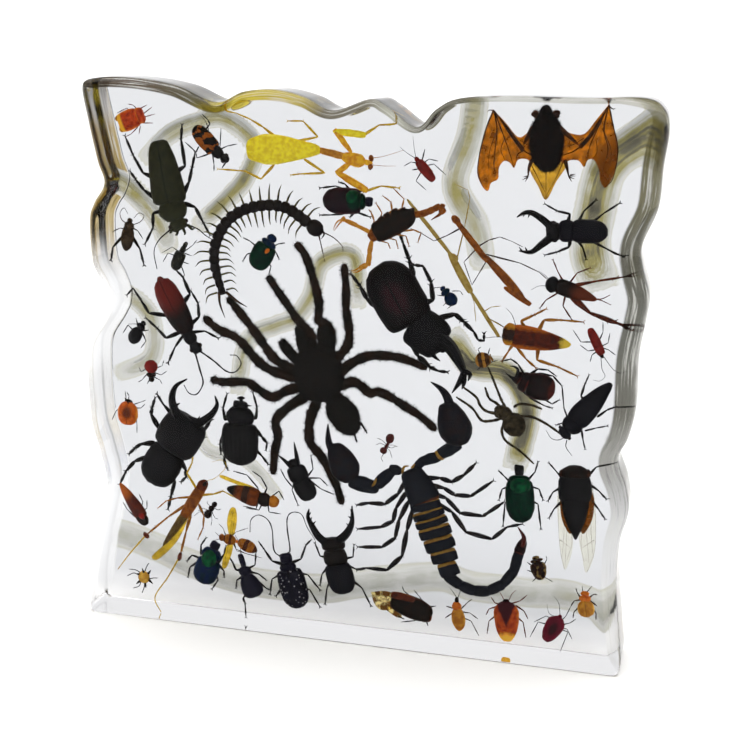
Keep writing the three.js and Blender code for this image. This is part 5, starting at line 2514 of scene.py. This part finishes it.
            Part(Form.ROUND, (427, 622), (430, 612), 1.9, RED_BROWN),
            Part(Form.SLENDER, (391, 594), (415, 602), 2.4, RED_BROWN, lift=1.6),
        ),
        (
            legs(
                0.9, BLACK_LIMB, ((411, 597), (404, 591), (402, 586)), ((424, 603), (419, 596), (414, 590)),
                ((428, 607), (436, 606)), ((402, 618), (396, 615)), ((412, 621), (401, 622)),
                ((426, 620), (428, 626)),
            ),
        ),
        (
            Wing(
                ((371, 592), (385, 591), (396, 595), (400, 603), (392, 609), (381, 610), (374, 603)),
                MOTTLED_WING, lift=1.0,
            ),
            Wing(((381, 606), (392, 606), (402, 616), (396, 617)), MOTTLED_WING, lift=0.6),
        ),
    ),
    Insect(
        "orange_wasp", 12,
        (
            Part(Form.SPINDLE, (257, 551), (238, 541), 3.1, WASP),
            Part(Form.ROUND, (223, 538), (236, 541), 2.7, WASP),
            Part(Form.ROUND, (225, 538), (219, 537), 1.9, AMBER_BROWN),
            Part(Form.SLENDER, (233, 540), (241, 543), 0.8, ORANGE),
        ),
        (
            legs(
                0.7, BROWN_LIMB, ((226, 536), (223, 528), (219, 524)), ((231, 537), (236, 532), (248, 528)),
                ((233, 543), (237, 551), (262, 558)), ((234, 541), (236, 549), (247, 554)),
            ),
            feelers(0.4, BROWN_LIMB, ((220, 537), (215, 532)), ((219, 539), (213, 541))),
        ),
        (
            Wing(
                ((229, 536), (227, 522), (230, 509), (235, 508), (237, 516), (236, 528), (233, 536)),
                YELLOW_WING, (((230, 535), (233, 512)), ((232, 535), (235, 516))),
            ),
            Wing(
                ((228, 543), (233, 545), (231, 556), (226, 568), (222, 566), (224, 553)), YELLOW_WING,
                (((229, 544), (224, 564)),),
            ),
        ),
        Slot.AMBER,
    ),
    Insect(
        "black_ant", 12,
        (
            Part(Form.ROUND, (206, 518), (210, 510), 2.0, WARM_BLACK),
            Part(Form.ROUND, (210, 511), (213, 506), 1.5, WARM_BLACK),
            Part(Form.ROUND, (213, 507), (216, 502), 1.4, WARM_BLACK),
        ),
        (
            legs(
                0.5, BLACK_LIMB, ((210, 511), (203, 508), (198, 511)), ((212, 508), (207, 503), (208, 501)),
                ((211, 513), (212, 520), (211, 526)), ((212, 512), (215, 518), (218, 519)),
                ((214, 508), (218, 510), (221, 509)), ((209, 512), (199, 512), (194, 516)),
            ),
        ),
    ),
    Insect(
        "reddish_ant", 12,
        (
            Part(Form.ROUND, (392, 434), (388, 443), 2.2, ANT),
            Part(Form.SLENDER, (389, 442), (385, 449), 0.8, ANT),
            Part(Form.ROUND, (384, 454), (383, 447), 1.8, ANT),
        ),
        (
            legs(
                0.45, BROWN_LIMB, ((387, 446), (380, 443), (376, 445)), ((387, 445), (382, 440), (377, 438)),
                ((386, 447), (392, 448), (396, 446)), ((386, 447), (390, 451), (392, 458)),
                ((387, 445), (393, 445), (398, 447)), ((384, 453), (381, 458), (383, 462)),
            ),
        ),
    ),
    Insect(
        "orange_grasshopper", 13,
        (
            Part(Form.SLENDER, (182, 519), (202, 487), 3.1, AMBER_BROWN),
            Part(Form.ROUND, (198, 492), (206.5, 480), 2.8, RED_BROWN),
            Part(Form.TAPERED, (163, 546), (187, 512), 2.3, OLIVE_AMBER),
            Part(Form.ROUND, (203, 486), (206, 482), 0.9, EYE, lift=1.7),
            Part(Form.ROUND, (143.5, 532.5), (149, 538), 1.2, RED_BROWN),
            Part(Form.ROUND, (181, 552), (178.5, 561), 1.1, RED_BROWN),
        ),
        (
            legs(2.2, AMBER_LIMB, ((184, 506), (168, 517), (146, 535)), ((190, 517), (186, 532), (180, 556))),
            feelers(
                1.2, YELLOW_LIMB, ((146, 535), (131, 552), (118, 569)),
                ((180, 556), (168, 577), (155, 597), (161, 612)),
            ),
            legs(
                1.5, YELLOW_LIMB, ((196, 488), (187, 473), (192, 463), (193, 455)),
                ((202, 495), (214, 494), (223, 491), (236, 498)),
            ),
            legs(
                1.3, AMBER_LIMB, ((190, 497), (177, 498), (166, 501), (158, 508)),
                ((200, 507), (204, 516), (203, 528), (198, 539)),
            ),
            feelers(0.4, YELLOW_LIMB, ((205, 481), (215, 478), (226, 467), (222, 460), (212, 462))),
        ),
        (
            Wing(
                (
                    (164, 545), (172, 536), (178, 524), (184, 516), (187, 521), (178, 540), (165, 554),
                    (156, 560), (152, 556),
                ),
                YELLOW_WING, lift=-1.0,
            ),
        ),
        Slot.AMBER,
    ),
    Insect(
        "red_leafhopper", 13,
        (
            Part(Form.TAPERED, (120, 483), (143, 518), 3.3, LEAFHOPPER),
            Part(Form.ROUND, (137, 511), (147, 525), 2.8, WARM_BLACK),
            Part(Form.ROUND, (139, 513), (144, 519), 1.4, RED, lift=1.6),
        ),
        (
            legs(
                0.9, BLACK_LIMB, ((141, 509), (143, 502), (139, 494)), ((143, 511), (147, 508), (147, 500)),
                ((133, 515), (127, 509), (123, 502)),
            ),
        ),
        slot=Slot.AMBER,
    ),
    Insect(
        "hornet", 13,
        (
            Part(Form.TAPERED, (227, 488), (259, 499), 4.7, HORNET),
            Part(Form.ROUND, (256, 497), (272, 502), 3.5, WARM_BLACK),
            Part(Form.ROUND, (268, 500), (279, 503), 3.1, HORNET_HEAD),
        ),
        (
            legs(
                1.1, BLACK_LIMB, ((264, 495), (267, 488), (261, 477), (252, 471)),
                ((258, 495), (258, 488), (247, 475), (233, 471)), ((258, 502), (256, 509), (243, 506)),
                ((262, 504), (259, 510), (246, 508)), ((268, 505), (269, 512), (281, 514)),
                ((271, 497), (279, 491), (284, 500)),
            ),
        ),
        (
            Wing(
                ((262, 493), (252, 486), (238, 481), (222, 475), (221, 478), (240, 486), (256, 494)),
                YELLOW_WING, (((260, 492), (224, 476)),),
            ),
        ),
    ),
)


# ------------------------------------------------------------------------------ centipede, scorpions, spiders


@dataclass(frozen=True)
class Centipede:
    """A centipede: a row of alike plates along a bent line, a pair of legs at each, and a long last pair."""

    name: str = "centipede"
    depth: float = 13.0
    line: Path = (
        (223, 295), (220, 285), (216, 272), (214, 255), (217, 239), (229, 219), (249, 208), (272, 205),
        (289, 209), (308, 223),
    )
    head: tuple[Spot, Spot] = ((308, 222), (322, 234))
    plates: int = 21
    width: float = 5.9
    reach: float = 9.6
    leg: float = 1.15
    tail_lean: float = -0.75
    lean_change: float = 1.15
    overlap: float = 0.10

    def build(self) -> Object:
        """Makes the centipede.

        Returns:
            Its object.
        """
        bench = Bench(self.name, self.depth)
        spots = evenly(spline(np.array(self.line, float), 12), self.plates)
        widths = self.width / 2 * np.interp(
            np.arange(self.plates), [0, 3, 8, self.plates], [0.62, 0.86, 1.0, 1.0],
        )
        first = None
        for number in range(self.plates):
            start, end = spots[number], spots[number + 1]
            over = end + self.overlap * (end - start)
            plate = Part(Form.SQUARE, tuple(start), tuple(over), widths[number], BROWN_BLACK, 0.55)
            first = first or (bench.loft(plate), plate)
            if number:
                bench.repeat(*first, plate)
            self.leg_pair(bench, start, end, number)
        bench.loft(Part(Form.ROUND, *self.head, 4.1, BROWN_BLACK, 0.6))
        bench.limbs(
            feelers(
                0.8, BROWN_LIMB, ((323, 232), (334, 238), (342, 246), (343, 252)),
                ((319, 236), (322, 249), (325, 262)),
            )
        )
        bench.limbs(horns(1.4, ((320, 228), (324, 234), (321, 239)), finish=BROWN_BLACK, lift=0.0))
        bench.limbs(
            horns(
                1.7, ((219, 292), (220, 304), (225, 318)), ((226, 292), (237, 301), (247, 307)),
                finish=BROWN_LIMB, lift=0.0,
            )
        )
        return bench.finish(Slot.DARK)

    def leg_pair(self, bench: Bench, start: np.ndarray, end: np.ndarray, number: int) -> None:
        """Adds the two legs of one plate, bent towards the tail at the back and the head in front.

        Args:
            bench: Where the centipede is made.
            start: The spot of the plate's rear end.
            end: The spot of its front end.
            number: Its number, counted from the tail.
        """
        run = (end - start) / np.linalg.norm(end - start)
        middle = (start + end) / 2
        share = number / (self.plates - 1)
        lean = self.tail_lean + self.lean_change * share
        pixels = self.reach * PIXELS_PER_MM
        for side in (-1, 1):
            out = side * np.array([run[1], -run[0]])
            length = pixels * (0.86 + 0.14 * math.sin(5.1 * number + side))
            root = middle + out * self.width * 0.8
            knee = root + out * length * 0.52 + run * lean * length * 0.06
            tip = root + out * length * (0.93 - 0.22 * abs(lean)) + run * lean * length * 0.55
            bench.limbs(Limbs(Limb.HORN, self.leg, CENTIPEDE_LEG, (tuple(map(tuple, (root, knee, tip))),)))


@dataclass(frozen=True)
class Scorpion:
    """A scorpion: a shield, plates that overlap along the back, a jointed tail with its sting, and claws."""

    name: str
    depth: float
    shield: Part
    back: Path
    halves: tuple[float, ...]
    core: Chitin
    plate: Chitin
    tail: Path
    tail_half: float
    sting: tuple[Spot, Spot, Spot]
    arms: tuple[Part, ...]
    limbs: tuple[Limbs, ...]
    tail_shell: Chitin
    sting_shell: Chitin
    gap: float = 0.16
    overlap: float = 0.10
    round_tail: float = 0.85

    def build(self) -> Object:
        """Makes the scorpion.

        Returns:
            Its object.
        """
        bench = Bench(self.name, self.depth)
        bench.loft(self.shield)
        for number, (start, end) in enumerate(zip(self.back, self.back[1:])):
            half = self.halves[number]
            bench.loft(Part(Form.PLATE, end, start, 0.97 * half, self.core, 0.48))
            inner = (start[0] + self.gap * (end[0] - start[0]), start[1] + self.gap * (end[1] - start[1]))
            bench.loft(Part(Form.PLATE, end, inner, half, self.plate, 0.54))
        for start, end in zip(self.tail, self.tail[1:]):
            slip = self.overlap * (end[0] - start[0]), self.overlap * (end[1] - start[1])
            before, after = (start[0] - slip[0], start[1] - slip[1]), (end[0] + slip[0], end[1] + slip[1])
            bench.loft(Part(Form.SQUARE, after, before, self.tail_half, self.tail_shell, self.round_tail))
        bulb = 1.05 * self.tail_half
        bench.loft(Part(Form.PEAR, self.sting[0], self.sting[1], bulb, self.sting_shell, self.round_tail))
        bench.limbs(horns(1.2 * self.tail_half, self.sting, finish=self.sting_shell, lift=0.0))
        for arm in self.arms:
            bench.loft(arm)
        for group in self.limbs:
            bench.limbs(group)
        return bench.finish(Slot.DARK)


def hand(root: Spot, wrist: Spot, half: float, finish: Chitin, thick: float = 0.7) -> Part:
    """A claw's hand from its wrist to the root of its fingers."""
    return Part(Form.HAND, wrist, root, half, finish, thick)


SCORPIONS = (
    Scorpion(
        "large_scorpion", 15, Part(Form.CARAPACE, (427, 504), (410, 469), 8.0, SCORPION_SHIELD, 0.5),
        ((424, 500), (427, 510), (430, 518), (433, 526), (437, 537), (442, 550), (446, 562), (451, 576)),
        (7.6, 8.0, 8.2, 8.2, 7.6, 6.6, 5.0), GOLD_SHELL, SCORPION_BLUE,
        ((447, 576), (460, 585), (474, 591), (489, 591), (503, 584), (514, 571), (519, 552)), 2.75,
        ((518, 555), (524, 539), (518, 527)),
        (
            Part(Form.SLENDER, (402, 471), (389, 469), 2.6, SCORPION_BLUE, 0.8),
            Part(Form.SLENDER, (393, 470), (376, 486), 3.4, SCORPION_BLUE, 0.8),
            Part(Form.SLENDER, (379, 489), (349, 480), 3.9, SCORPION_BLUE, 0.8),
            Part(Form.ROUND, (376, 484), (373, 482), 3.6, GOLD_SHELL, 0.8),
            hand((333, 443), (352, 482), 7.6, SCORPION_HAND),
            Part(Form.SLENDER, (415, 469), (424, 459), 2.4, SCORPION_BLUE, 0.8),
            Part(Form.SLENDER, (419, 462), (441, 456), 2.9, SCORPION_BLUE, 0.8),
            Part(Form.SLENDER, (436, 457), (460, 443), 3.4, SCORPION_BLUE, 0.8),
            Part(Form.ROUND, (437, 458), (442, 453), 3.1, GOLD_SHELL, 0.8),
            hand((446, 401), (461, 446), 8.8, SCORPION_HAND),
        ),
        (
            horns(4.2, ((333, 452), (329, 443), (328, 434), (328, 424)), finish=BLUE_BLACK, lift=0.0),
            horns(4.6, ((450, 405), (446, 395), (440, 388), (431, 382)), finish=BLUE_BLACK, lift=0.0),
            Limbs(
                Limb.SHANK, 2.2, SCORPION_LEG,
                (
                    ((404, 484), (398, 494), (385, 504), (368, 503), (357, 505)),
                    ((405, 494), (396, 508), (393, 521), (381, 527), (358, 529)),
                    ((407, 504), (399, 520), (395, 538), (382, 547), (358, 547)),
                    ((412, 512), (407, 530), (402, 556), (387, 570), (366, 568), (357, 570)),
                    ((427, 478), (440, 478), (452, 482), (464, 475), (476, 463)),
                    ((430, 485), (444, 488), (455, 495), (471, 496), (493, 481)),
                    ((432, 493), (446, 498), (460, 513), (483, 516), (504, 502)),
                    ((435, 502), (452, 512), (466, 532), (492, 539), (507, 527), (522, 524)),
                ),
                -0.6,
            ),
            feelers(
                2.0, GOLD_SHELL, ((402, 473), (404, 467), (408, 466)), ((412, 468), (416, 464), (419, 466)),
            ),
        ),
        SCORPION_BLUE, REDDISH_BLACK,
    ),
    Scorpion(
        "small_scorpion", 13, Part(Form.CARAPACE, (379, 230), (370, 239), 3.6, AMBER_BROWN, 0.5),
        ((377, 232), (382, 228), (388, 224), (394, 220), (401, 217), (408, 215), (415, 214)),
        (4.6, 5.2, 5.4, 5.2, 4.4, 3.2), BROWN, WARM_BLACK,
        ((413, 215), (421, 214), (428, 212), (434, 209), (440, 206), (444, 208)), 1.8,
        ((444, 208), (440, 214), (431, 220)),
        (
            Part(Form.EGG, (415, 213.5), (374, 234), 5.7, WARM_BLACK, 0.5, lift=0.5),
            hand((341, 219), (346, 219), 1.5, AMBER_SHELL_ARM),
            Part(Form.SLENDER, (345, 220), (358, 226), 1.2, AMBER_SHELL_ARM, 0.8),
            Part(Form.SLENDER, (356, 225), (371, 233), 1.1, AMBER_SHELL_ARM, 0.8),
            Part(Form.SLENDER, (372, 240), (369, 254), 1.3, AMBER_SHELL_ARM, 0.8),
            Part(Form.SLENDER, (370, 252), (368, 266), 1.4, AMBER_SHELL_ARM, 0.8),
            hand((359, 268), (368, 265), 1.6, AMBER_SHELL_ARM),
        ),
        (
            horns(
                1.1, ((343, 219), (337, 222), (333, 230)), ((343, 220), (339, 224), (334, 231)),
                finish=AMBER_SHELL_ARM, lift=0.0,
            ),
            horns(
                1.0, ((361, 267), (355, 270), (351, 271)), ((362, 269), (357, 272), (352, 272)),
                finish=AMBER_SHELL_ARM, lift=0.0,
            ),
            legs(
                1.2, AMBER_LIMB, ((374, 228), (374, 220), (371, 212), (369, 210)),
                ((379, 222), (382, 213), (376, 203)), ((387, 216), (392, 210), (391, 202), (383, 196)),
                ((394, 213), (402, 208), (404, 199), (393, 188)), ((378, 240), (388, 243), (390, 248)),
                ((384, 237), (396, 240), (398, 248)), ((392, 234), (406, 236), (409, 246)),
                ((400, 231), (414, 230), (421, 233), (418, 242)),
            ),
        ),
        AMBER_BROWN, AMBER_BROWN,
    ),
)


@dataclass(frozen=True)
class Fur:
    """Fine hairs over a skin: how many, how long in millimetres, and how far they lean outwards."""

    count: int
    length: float
    finish: Chitin
    lean: float = 0.35
    root: float = 0.055
    seed: int = 7
    shortest: float = 0.45
    spread: float = 0.6
    sunk: float = 0.12
    turns: tuple[float, float, float] = (0.0, 2.1, 4.2)
    decimals: int = 5

    def grow(self, skins: list[Object]) -> Object:
        """Makes the hairs as thin three-sided spikes in one mesh.

        Args:
            skins: The objects that the hairs stand on.

        Returns:
            The hairs' object.
        """
        centres, normals, areas = [], [], []
        for skin in skins:
            for face in skin.data.polygons:
                centres.append(face.center[:])
                normals.append(face.normal[:])
                areas.append(face.area)
        # The faces come in no fixed order, so they are put in the order of their rounded places.
        order = np.lexsort(np.round(np.array(centres).T, self.decimals))
        centres, normals, areas = np.array(centres)[order], np.array(normals)[order], np.array(areas)[order]
        chance = np.random.default_rng(self.seed)
        picked = chance.choice(len(areas), self.count, p=areas / areas.sum())
        way = normals[picked] + self.lean * chance.normal(size=(self.count, 3))
        way /= np.linalg.norm(way, axis=1)[:, None]
        length = self.length * MM * chance.uniform(self.shortest, 1.0, self.count)[:, None]
        spread = np.sqrt(areas[picked] / 2)[:, None] * chance.normal(size=(self.count, 3)) * self.spread
        spread -= normals[picked] * np.einsum("ij,ij->i", spread, normals[picked])[:, None]
        roots = centres[picked] + spread - normals[picked] * self.sunk * MM
        side = np.cross(way, chance.normal(size=(self.count, 3)))
        side /= np.linalg.norm(side, axis=1)[:, None]
        other = np.cross(way, side)
        ways = [math.cos(turn) * side + math.sin(turn) * other for turn in self.turns]
        corners = [roots + self.root * MM * around for around in ways]
        points = np.stack([*corners, roots + way * length], axis=1).reshape(-1, 3)
        first = 4 * np.arange(self.count)[:, None]
        faces = np.vstack([first + [0, 1, 3], first + [1, 2, 3], first + [2, 0, 3], first + [2, 1, 0]])
        mesh = bpy.data.meshes.new("fur")
        mesh.from_pydata(points.tolist(), [], faces.tolist())
        hairs = bpy.data.objects.new("fur", mesh)
        bpy.context.collection.objects.link(hairs)
        mesh.materials.append(self.finish.make())
        return hairs


@dataclass(frozen=True)
class Spider:
    """A spider: a head shield, an abdomen, eight walking legs and two feelers, furry on the larger kinds."""

    name: str
    depth: float
    parts: tuple[Part, ...]
    legs: tuple[Path, ...]
    leg: float
    limb: Chitin
    extras: tuple[Limbs, ...] = ()
    fur: Fur | None = None
    joint: float = 0.22
    arch: float = 2.2
    droop: float = 1.2
    stretches: float = 4.5

    def build(self) -> Object:
        """Makes the spider.

        Returns:
            Its object.
        """
        bench = Bench(self.name, self.depth)
        for part in self.parts:
            bench.loft(part)
        for path in self.legs:
            self.walking_leg(bench, path)
        for group in self.extras:
            bench.limbs(group)
        if self.fur:
            bench.round_bodies(1)
            lines = bench.draw_lines(2)
            bench.lines.clear()
            bench.extras += [self.fur.grow([*bench.bodies, *lines]), *lines]
            return bench.finish(Slot.HIDE, 0)
        return bench.finish(Slot.DARK)

    def walking_leg(self, bench: Bench, path: Path) -> None:
        """Adds one leg: a smooth bent tube, pinched at its joints and thinner towards its blunt foot.

        Args:
            bench: Where the spider is made.
            path: The leg's spots from the body to the foot.
        """
        steps = range(len(path))
        lifts = [self.arch * math.sin(math.pi * step / len(path)) - self.droop for step in steps]
        places = np.array([tuple(bench.at(spot, lift)) for spot, lift in zip(path, lifts)])
        points = spline(places, 6)
        share = np.linspace(0, 1, len(points))
        pinch = np.abs(np.sin(math.pi * share * self.stretches))
        steps = np.arange(len(points))
        uneven = 1 + 0.06 * np.sin(steps * 1.9 + path[0][0]) + 0.05 * np.sin(steps * 4.3)
        narrow = 1 - self.joint + self.joint * pinch**0.6
        radii = self.leg / 2 * MM * (1.08 - 0.26 * share) * narrow * uneven
        radii[-1] *= 0.55
        radii[-2] *= 0.92
        bench.lines.setdefault(self.limb, []).append((points, radii))


SPIDERS = (
    Spider(
        "tarantula", 18,
        (
            Part(Form.DISC, (322, 402), (315, 346), 12.8, TARANTULA, 0.42),
            Part(Form.ROUND, (355, 434), (331, 394), 7.4, TARANTULA, 0.8),
            Part(Form.ROUND, (324, 360), (325, 341), 5.0, TARANTULA, 0.7),
            Part(Form.SLENDER, (302, 366), (280, 340), 2.7, TARANTULA, 0.9),
            Part(Form.SLENDER, (310, 366), (300, 326), 3.6, TARANTULA, 0.9),
            Part(Form.ROUND, (328, 354), (325, 320), 4.5, TARANTULA, 0.8),
        ),
        (
            ((300, 372), (282, 364), (272, 356), (262, 342), (249, 324), (237, 309), (228, 297)),
            ((300, 379), (273, 371), (259, 362), (249, 351), (237, 338), (218, 329), (204, 317)),
            ((302, 386), (286, 391), (272, 397), (255, 387), (246, 382), (223, 382), (211, 379)),
            ((310, 394), (290, 406), (276, 420), (278, 436), (275, 450), (273, 474)),
            ((318, 400), (311, 416), (309, 431), (311, 444), (321, 456), (330, 472), (337, 487), (342, 504)),
            (
                (335, 388), (352, 382), (361, 386), (370, 393), (379, 392), (392, 398), (403, 405),
                (420, 416), (436, 430),
            ),
            ((335, 376), (352, 363), (369, 356), (388, 356), (404, 359), (427, 368)),
            ((330, 362), (340, 355), (348, 344), (349, 329), (346, 308), (346, 288), (344, 264)),
            (
                (325, 360), (331, 338), (328, 326), (319, 320), (319, 304), (315, 285), (309, 265),
                (304, 253), (296, 243),
            ),
            ((312, 364), (312, 346), (312, 337), (305, 327), (297, 319), (287, 304), (277, 290), (268, 276)),
        ),
        5.2, TARANTULA_LEG,
        (
            Limbs(
                Limb.FEELER, 1.7, TARANTULA,
                (((353, 429), (355, 436), (357, 442)), ((360, 422), (364, 428), (367, 433))), -1.0,
            ),
        ),
        Fur(24000, 2.2, TARANTULA_LEG, lean=0.45, root=0.085),
    ),
    Spider(
        "brown_spider", 14,
        (
            Part(Form.ROUND, (512, 420), (497, 407), 3.6, DULL_BROWN, 0.7),
            Part(Form.ROUND, (519, 436), (509, 413), 5.8, DULL_BROWN, 0.8),
            Part(Form.ROUND, (504, 413), (494, 410), 3.0, DULL_BROWN, 0.7),
        ),
        (
            ((500, 419), (490, 421), (481, 420), (472, 408), (456, 397)),
            ((498, 414), (486, 411), (480, 405), (476, 397), (463, 387)),
            ((503, 409), (496, 403), (489, 398), (485, 387)),
            ((506, 409), (501, 399), (497, 389), (488, 367)),
            ((514, 407), (520, 404), (531, 405), (542, 409)),
            ((514, 416), (532, 417), (548, 425), (562, 435)),
            ((509, 421), (502, 428), (505, 440), (520, 451), (534, 464)),
        ),
        1.5, DULL_BROWN, fur=Fur(2500, 0.7, DULL_BROWN),
    ),
    Spider(
        "spiny_orange_spider", 12, (Part(Form.DISC, (144, 583), (144, 571), 2.9, SPOTTED_AMBER),),
        (
            ((141, 573), (136, 570), (129, 569)), ((140, 576), (134, 573), (127, 576)),
            ((141, 581), (139, 586), (133, 588)), ((145, 583), (144, 588), (142, 593)),
            ((149, 579), (153, 578), (158, 578)), ((145, 571), (147, 566), (149, 563)),
        ),
        0.6, BLACK_LIMB,
        (
            horns(
                1.5, ((144, 573), (142, 568)), ((148, 574), (151, 570)), ((149, 580), (153, 584)),
                ((140, 574), (136, 574)), ((140, 581), (136, 584)), ((145, 583), (146, 588)),
                finish=WARM_BLACK,
            ),
        ),
    ),
)


# ---------------------------------------------------------------------------------------------------- the bat


@dataclass(frozen=True)
class Bat:
    """A small bat: a furry body, membranes between long finger bones and the legs, and a tail skin."""

    name: str = "bat"
    depth: float = 15.0
    body: tuple[Part, ...] = (
        Part(Form.ROUND, (547, 172), (546, 112), 8.8, BAT_FUR, 0.62),
        Part(Form.SQUARE, (546, 148), (546, 121), 7.4, BAT_FUR, 0.5),
        Part(Form.CAP, (546, 127), (546, 105), 4.2, BAT_FUR, 0.7),
        Part(Form.DISC, (540, 118), (533, 112), 1.9, BAT_EAR, 0.4),
        Part(Form.DISC, (552, 118), (559, 112), 1.9, BAT_EAR, 0.4),
    )
    sheets: tuple[Wing, ...] = (
        Wing(
            (
                (493, 109), (485, 130), (480, 152), (477, 172), (482, 186), (488, 191), (491, 183),
                (498, 179), (499, 168), (504, 161), (510, 163), (514, 168), (518, 160), (526, 159),
                (534, 162), (539, 140), (532, 127), (527, 133), (518, 137), (506, 123),
            ),
            BAT_WING,
        ),
        Wing(
            (
                (609, 104), (613, 125), (618, 148), (617, 165), (611, 180), (605, 188), (600, 180),
                (599, 170), (594, 160), (588, 160), (584, 167), (579, 161), (571, 160), (561, 162),
                (556, 140), (563, 129), (570, 133), (584, 134), (596, 120),
            ),
            BAT_WING, lift=0.3,
        ),
        Wing(
            (
                (529, 158), (537, 162), (547, 169), (556, 163), (565, 158), (566, 167), (556, 182),
                (546, 200), (538, 186), (530, 171),
            ),
            BAT_TAIL, lift=-0.6,
        ),
    )
    bones: tuple[Limbs, ...] = (
        Limbs(
            Limb.HORN, 2.6, BAT_BONE,
            (((533, 127), (527, 138), (523, 146)), ((560, 128), (571, 138), (580, 146))),
        ),
        Limbs(
            Limb.HORN, 2.2, BAT_BONE,
            (
                ((523, 150), (514, 138), (504, 124), (494, 110)),
                ((580, 147), (590, 136), (600, 120), (609, 105)),
            ),
        ),
        Limbs(
            Limb.FEELER, 0.9, BAT_BONE,
            (
                ((494, 110), (487, 126), (480, 152), (478, 172), (483, 187)),
                ((494, 111), (497, 130), (494, 160), (495, 176)),
                ((495, 112), (503, 134), (508, 148), (514, 167)),
                ((609, 105), (613, 125), (618, 150), (613, 178), (605, 187)),
                ((608, 107), (604, 130), (608, 150), (601, 176)),
                ((607, 108), (597, 130), (590, 146), (585, 166)), ((523, 150), (530, 154), (540, 156)),
                ((580, 147), (572, 152), (560, 156)), ((523, 151), (518, 154), (516, 160)),
            ),
            0.3,
        ),
        Limbs(
            Limb.FEELER, 0.5, BAT_BONE,
            (
                ((498, 128), (490, 150), (488, 172)), ((504, 140), (501, 150), (505, 160)),
                ((602, 128), (611, 150), (608, 172)), ((596, 140), (597, 152), (592, 160)),
                ((546, 168), (546, 182), (546, 199)), ((531, 164), (538, 178), (545, 192)),
                ((563, 162), (556, 178), (547, 194)), ((520, 140), (530, 146), (538, 146)),
                ((584, 138), (572, 145), (558, 146)),
            ),
            0.2,
        ),
        Limbs(
            Limb.HORN, 2.0, BAT_BONE,
            (((532, 160), (529, 168), (528, 178)), ((565, 160), (567, 168), (569, 178))),
        ),
        Limbs(
            Limb.HORN, 0.6, BAT_BONE,
            (
                ((528, 176), (523, 177)), ((528, 177), (522, 180)), ((528, 177), (525, 182)),
                ((569, 176), (576, 176)), ((569, 177), (575, 179)), ((569, 177), (572, 182)),
                ((570, 175), (576, 174)), ((609, 106), (613, 109), (616, 108)),
                ((494, 111), (490, 110), (487, 112)),
            ),
        ),
    )

    def build(self) -> Object:
        """Makes the bat.

        Returns:
            Its object.
        """
        bench = Bench(self.name, self.depth)
        for part in self.body:
            bench.loft(part)
        core = bench.round_bodies(1)
        bench.extras.append(Fur(9000, 1.9, BAT_FUR, lean=0.5, root=0.07).grow([core]))
        for sheet in self.sheets:
            bench.sheet(sheet)
        for bone in self.bones:
            bench.limbs(bone)
        return bench.finish(Slot.HIDE, 0, 2)


# -------------------------------------------------------------------------------------------------- the stage


@dataclass(frozen=True)
class Studio:
    """A pale floor and plain soft light: a white wall behind, a dim room beside it and a large lamp overhead.

    A span gives the height at which something in the room starts and where it is whole, from 0, level, to 1,
    overhead. The wall's own span is how squarely it faces the slab's front.
    """

    floor_size: float = 40.0
    floor_gap: float = 0.4
    floor_patch: float = 90.0
    floor_shades: tuple[Colour, Colour] = ((0.93, 0.93, 0.93), (0.96, 0.96, 0.96))
    floor_rough: float = 0.9
    wall: Colour = (1.12, 1.12, 1.13)
    room: Colour = (0.60, 0.575, 0.49)
    horizon: Colour = (0.90, 0.90, 0.90)
    haze: Colour = (0.98, 0.98, 0.98)
    lamp: Colour = (3.7, 3.7, 3.75)
    horizon_span: Span = (0.30, 0.12)
    wall_slope: float = 0.35
    wall_span: Span = (0.10, 0.40)
    wall_top: Span = (0.72, 0.52)
    haze_foot: Span = (0.12, 0.22)
    haze_top: Span = (0.60, 0.45)
    lamp_span: Span = (0.80, 0.88)
    bounces: int = 20
    through_bounces: int = 16

    def floor(self) -> None:
        """Makes the floor just below the base."""
        bpy.ops.object.select_all(action="DESELECT")
        bpy.ops.mesh.primitive_plane_add(size=self.floor_size, location=(0, 0, -self.floor_gap * MM))
        floor = bpy.context.object
        floor.name = "floor"
        tree = Tree("pale_floor")
        shade = tree.blend(tree.noise(self.floor_patch, 2.0), *self.floor_shades)
        inputs = {"Base Color": shade, "Roughness": self.floor_rough}
        floor.data.materials.append(tree.finish(tree.add("ShaderNodeBsdfPrincipled", inputs=inputs)))

    def sky(self) -> None:
        """Lights the room."""
        tree = Tree("room", world=True)
        across, ahead, up = tree.split(tree.add("ShaderNodeTexCoord", result="Generated"))
        colour = tree.blend(up.rise(*self.horizon_span), self.room, self.horizon)
        wall = (ahead - across.size() * self.wall_slope).rise(*self.wall_span) * up.rise(*self.wall_top)
        colour = tree.blend(wall, colour, self.wall)
        colour = tree.blend(up.rise(*self.haze_foot) * up.rise(*self.haze_top) * wall, colour, self.haze)
        colour = tree.blend(up.rise(*self.lamp_span), colour, self.lamp)
        bpy.context.scene.world = tree.finish(tree.add("ShaderNodeBackground", inputs={"Color": colour}))

    def set_up(self) -> None:
        """Makes the floor, the light and the camera."""
        self.floor()
        self.sky()
        Viewpoint().camera()
        bpy.context.scene.view_settings.view_transform = "Standard"
        cycles = bpy.context.scene.cycles
        cycles.max_bounces = self.bounces
        cycles.transmission_bounces = self.through_bounces
        cycles.transparent_max_bounces = self.through_bounces


def main() -> None:
    """Builds the slab and everything sealed in it."""
    logging.basicConfig(level=logging.INFO, format="%(name)s: %(message)s")
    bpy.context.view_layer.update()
    noise.seed_set(UNEVEN_SEED)
    Studio().set_up()
    slab = Slab().build()
    log.info("%s: %d faces", slab.name, len(slab.data.polygons))
    for animal in (*BEETLES, *OTHERS, Centipede(), *SCORPIONS, *SPIDERS, Bat()):
        animal.build()


if __name__ == "__main__":
    main()
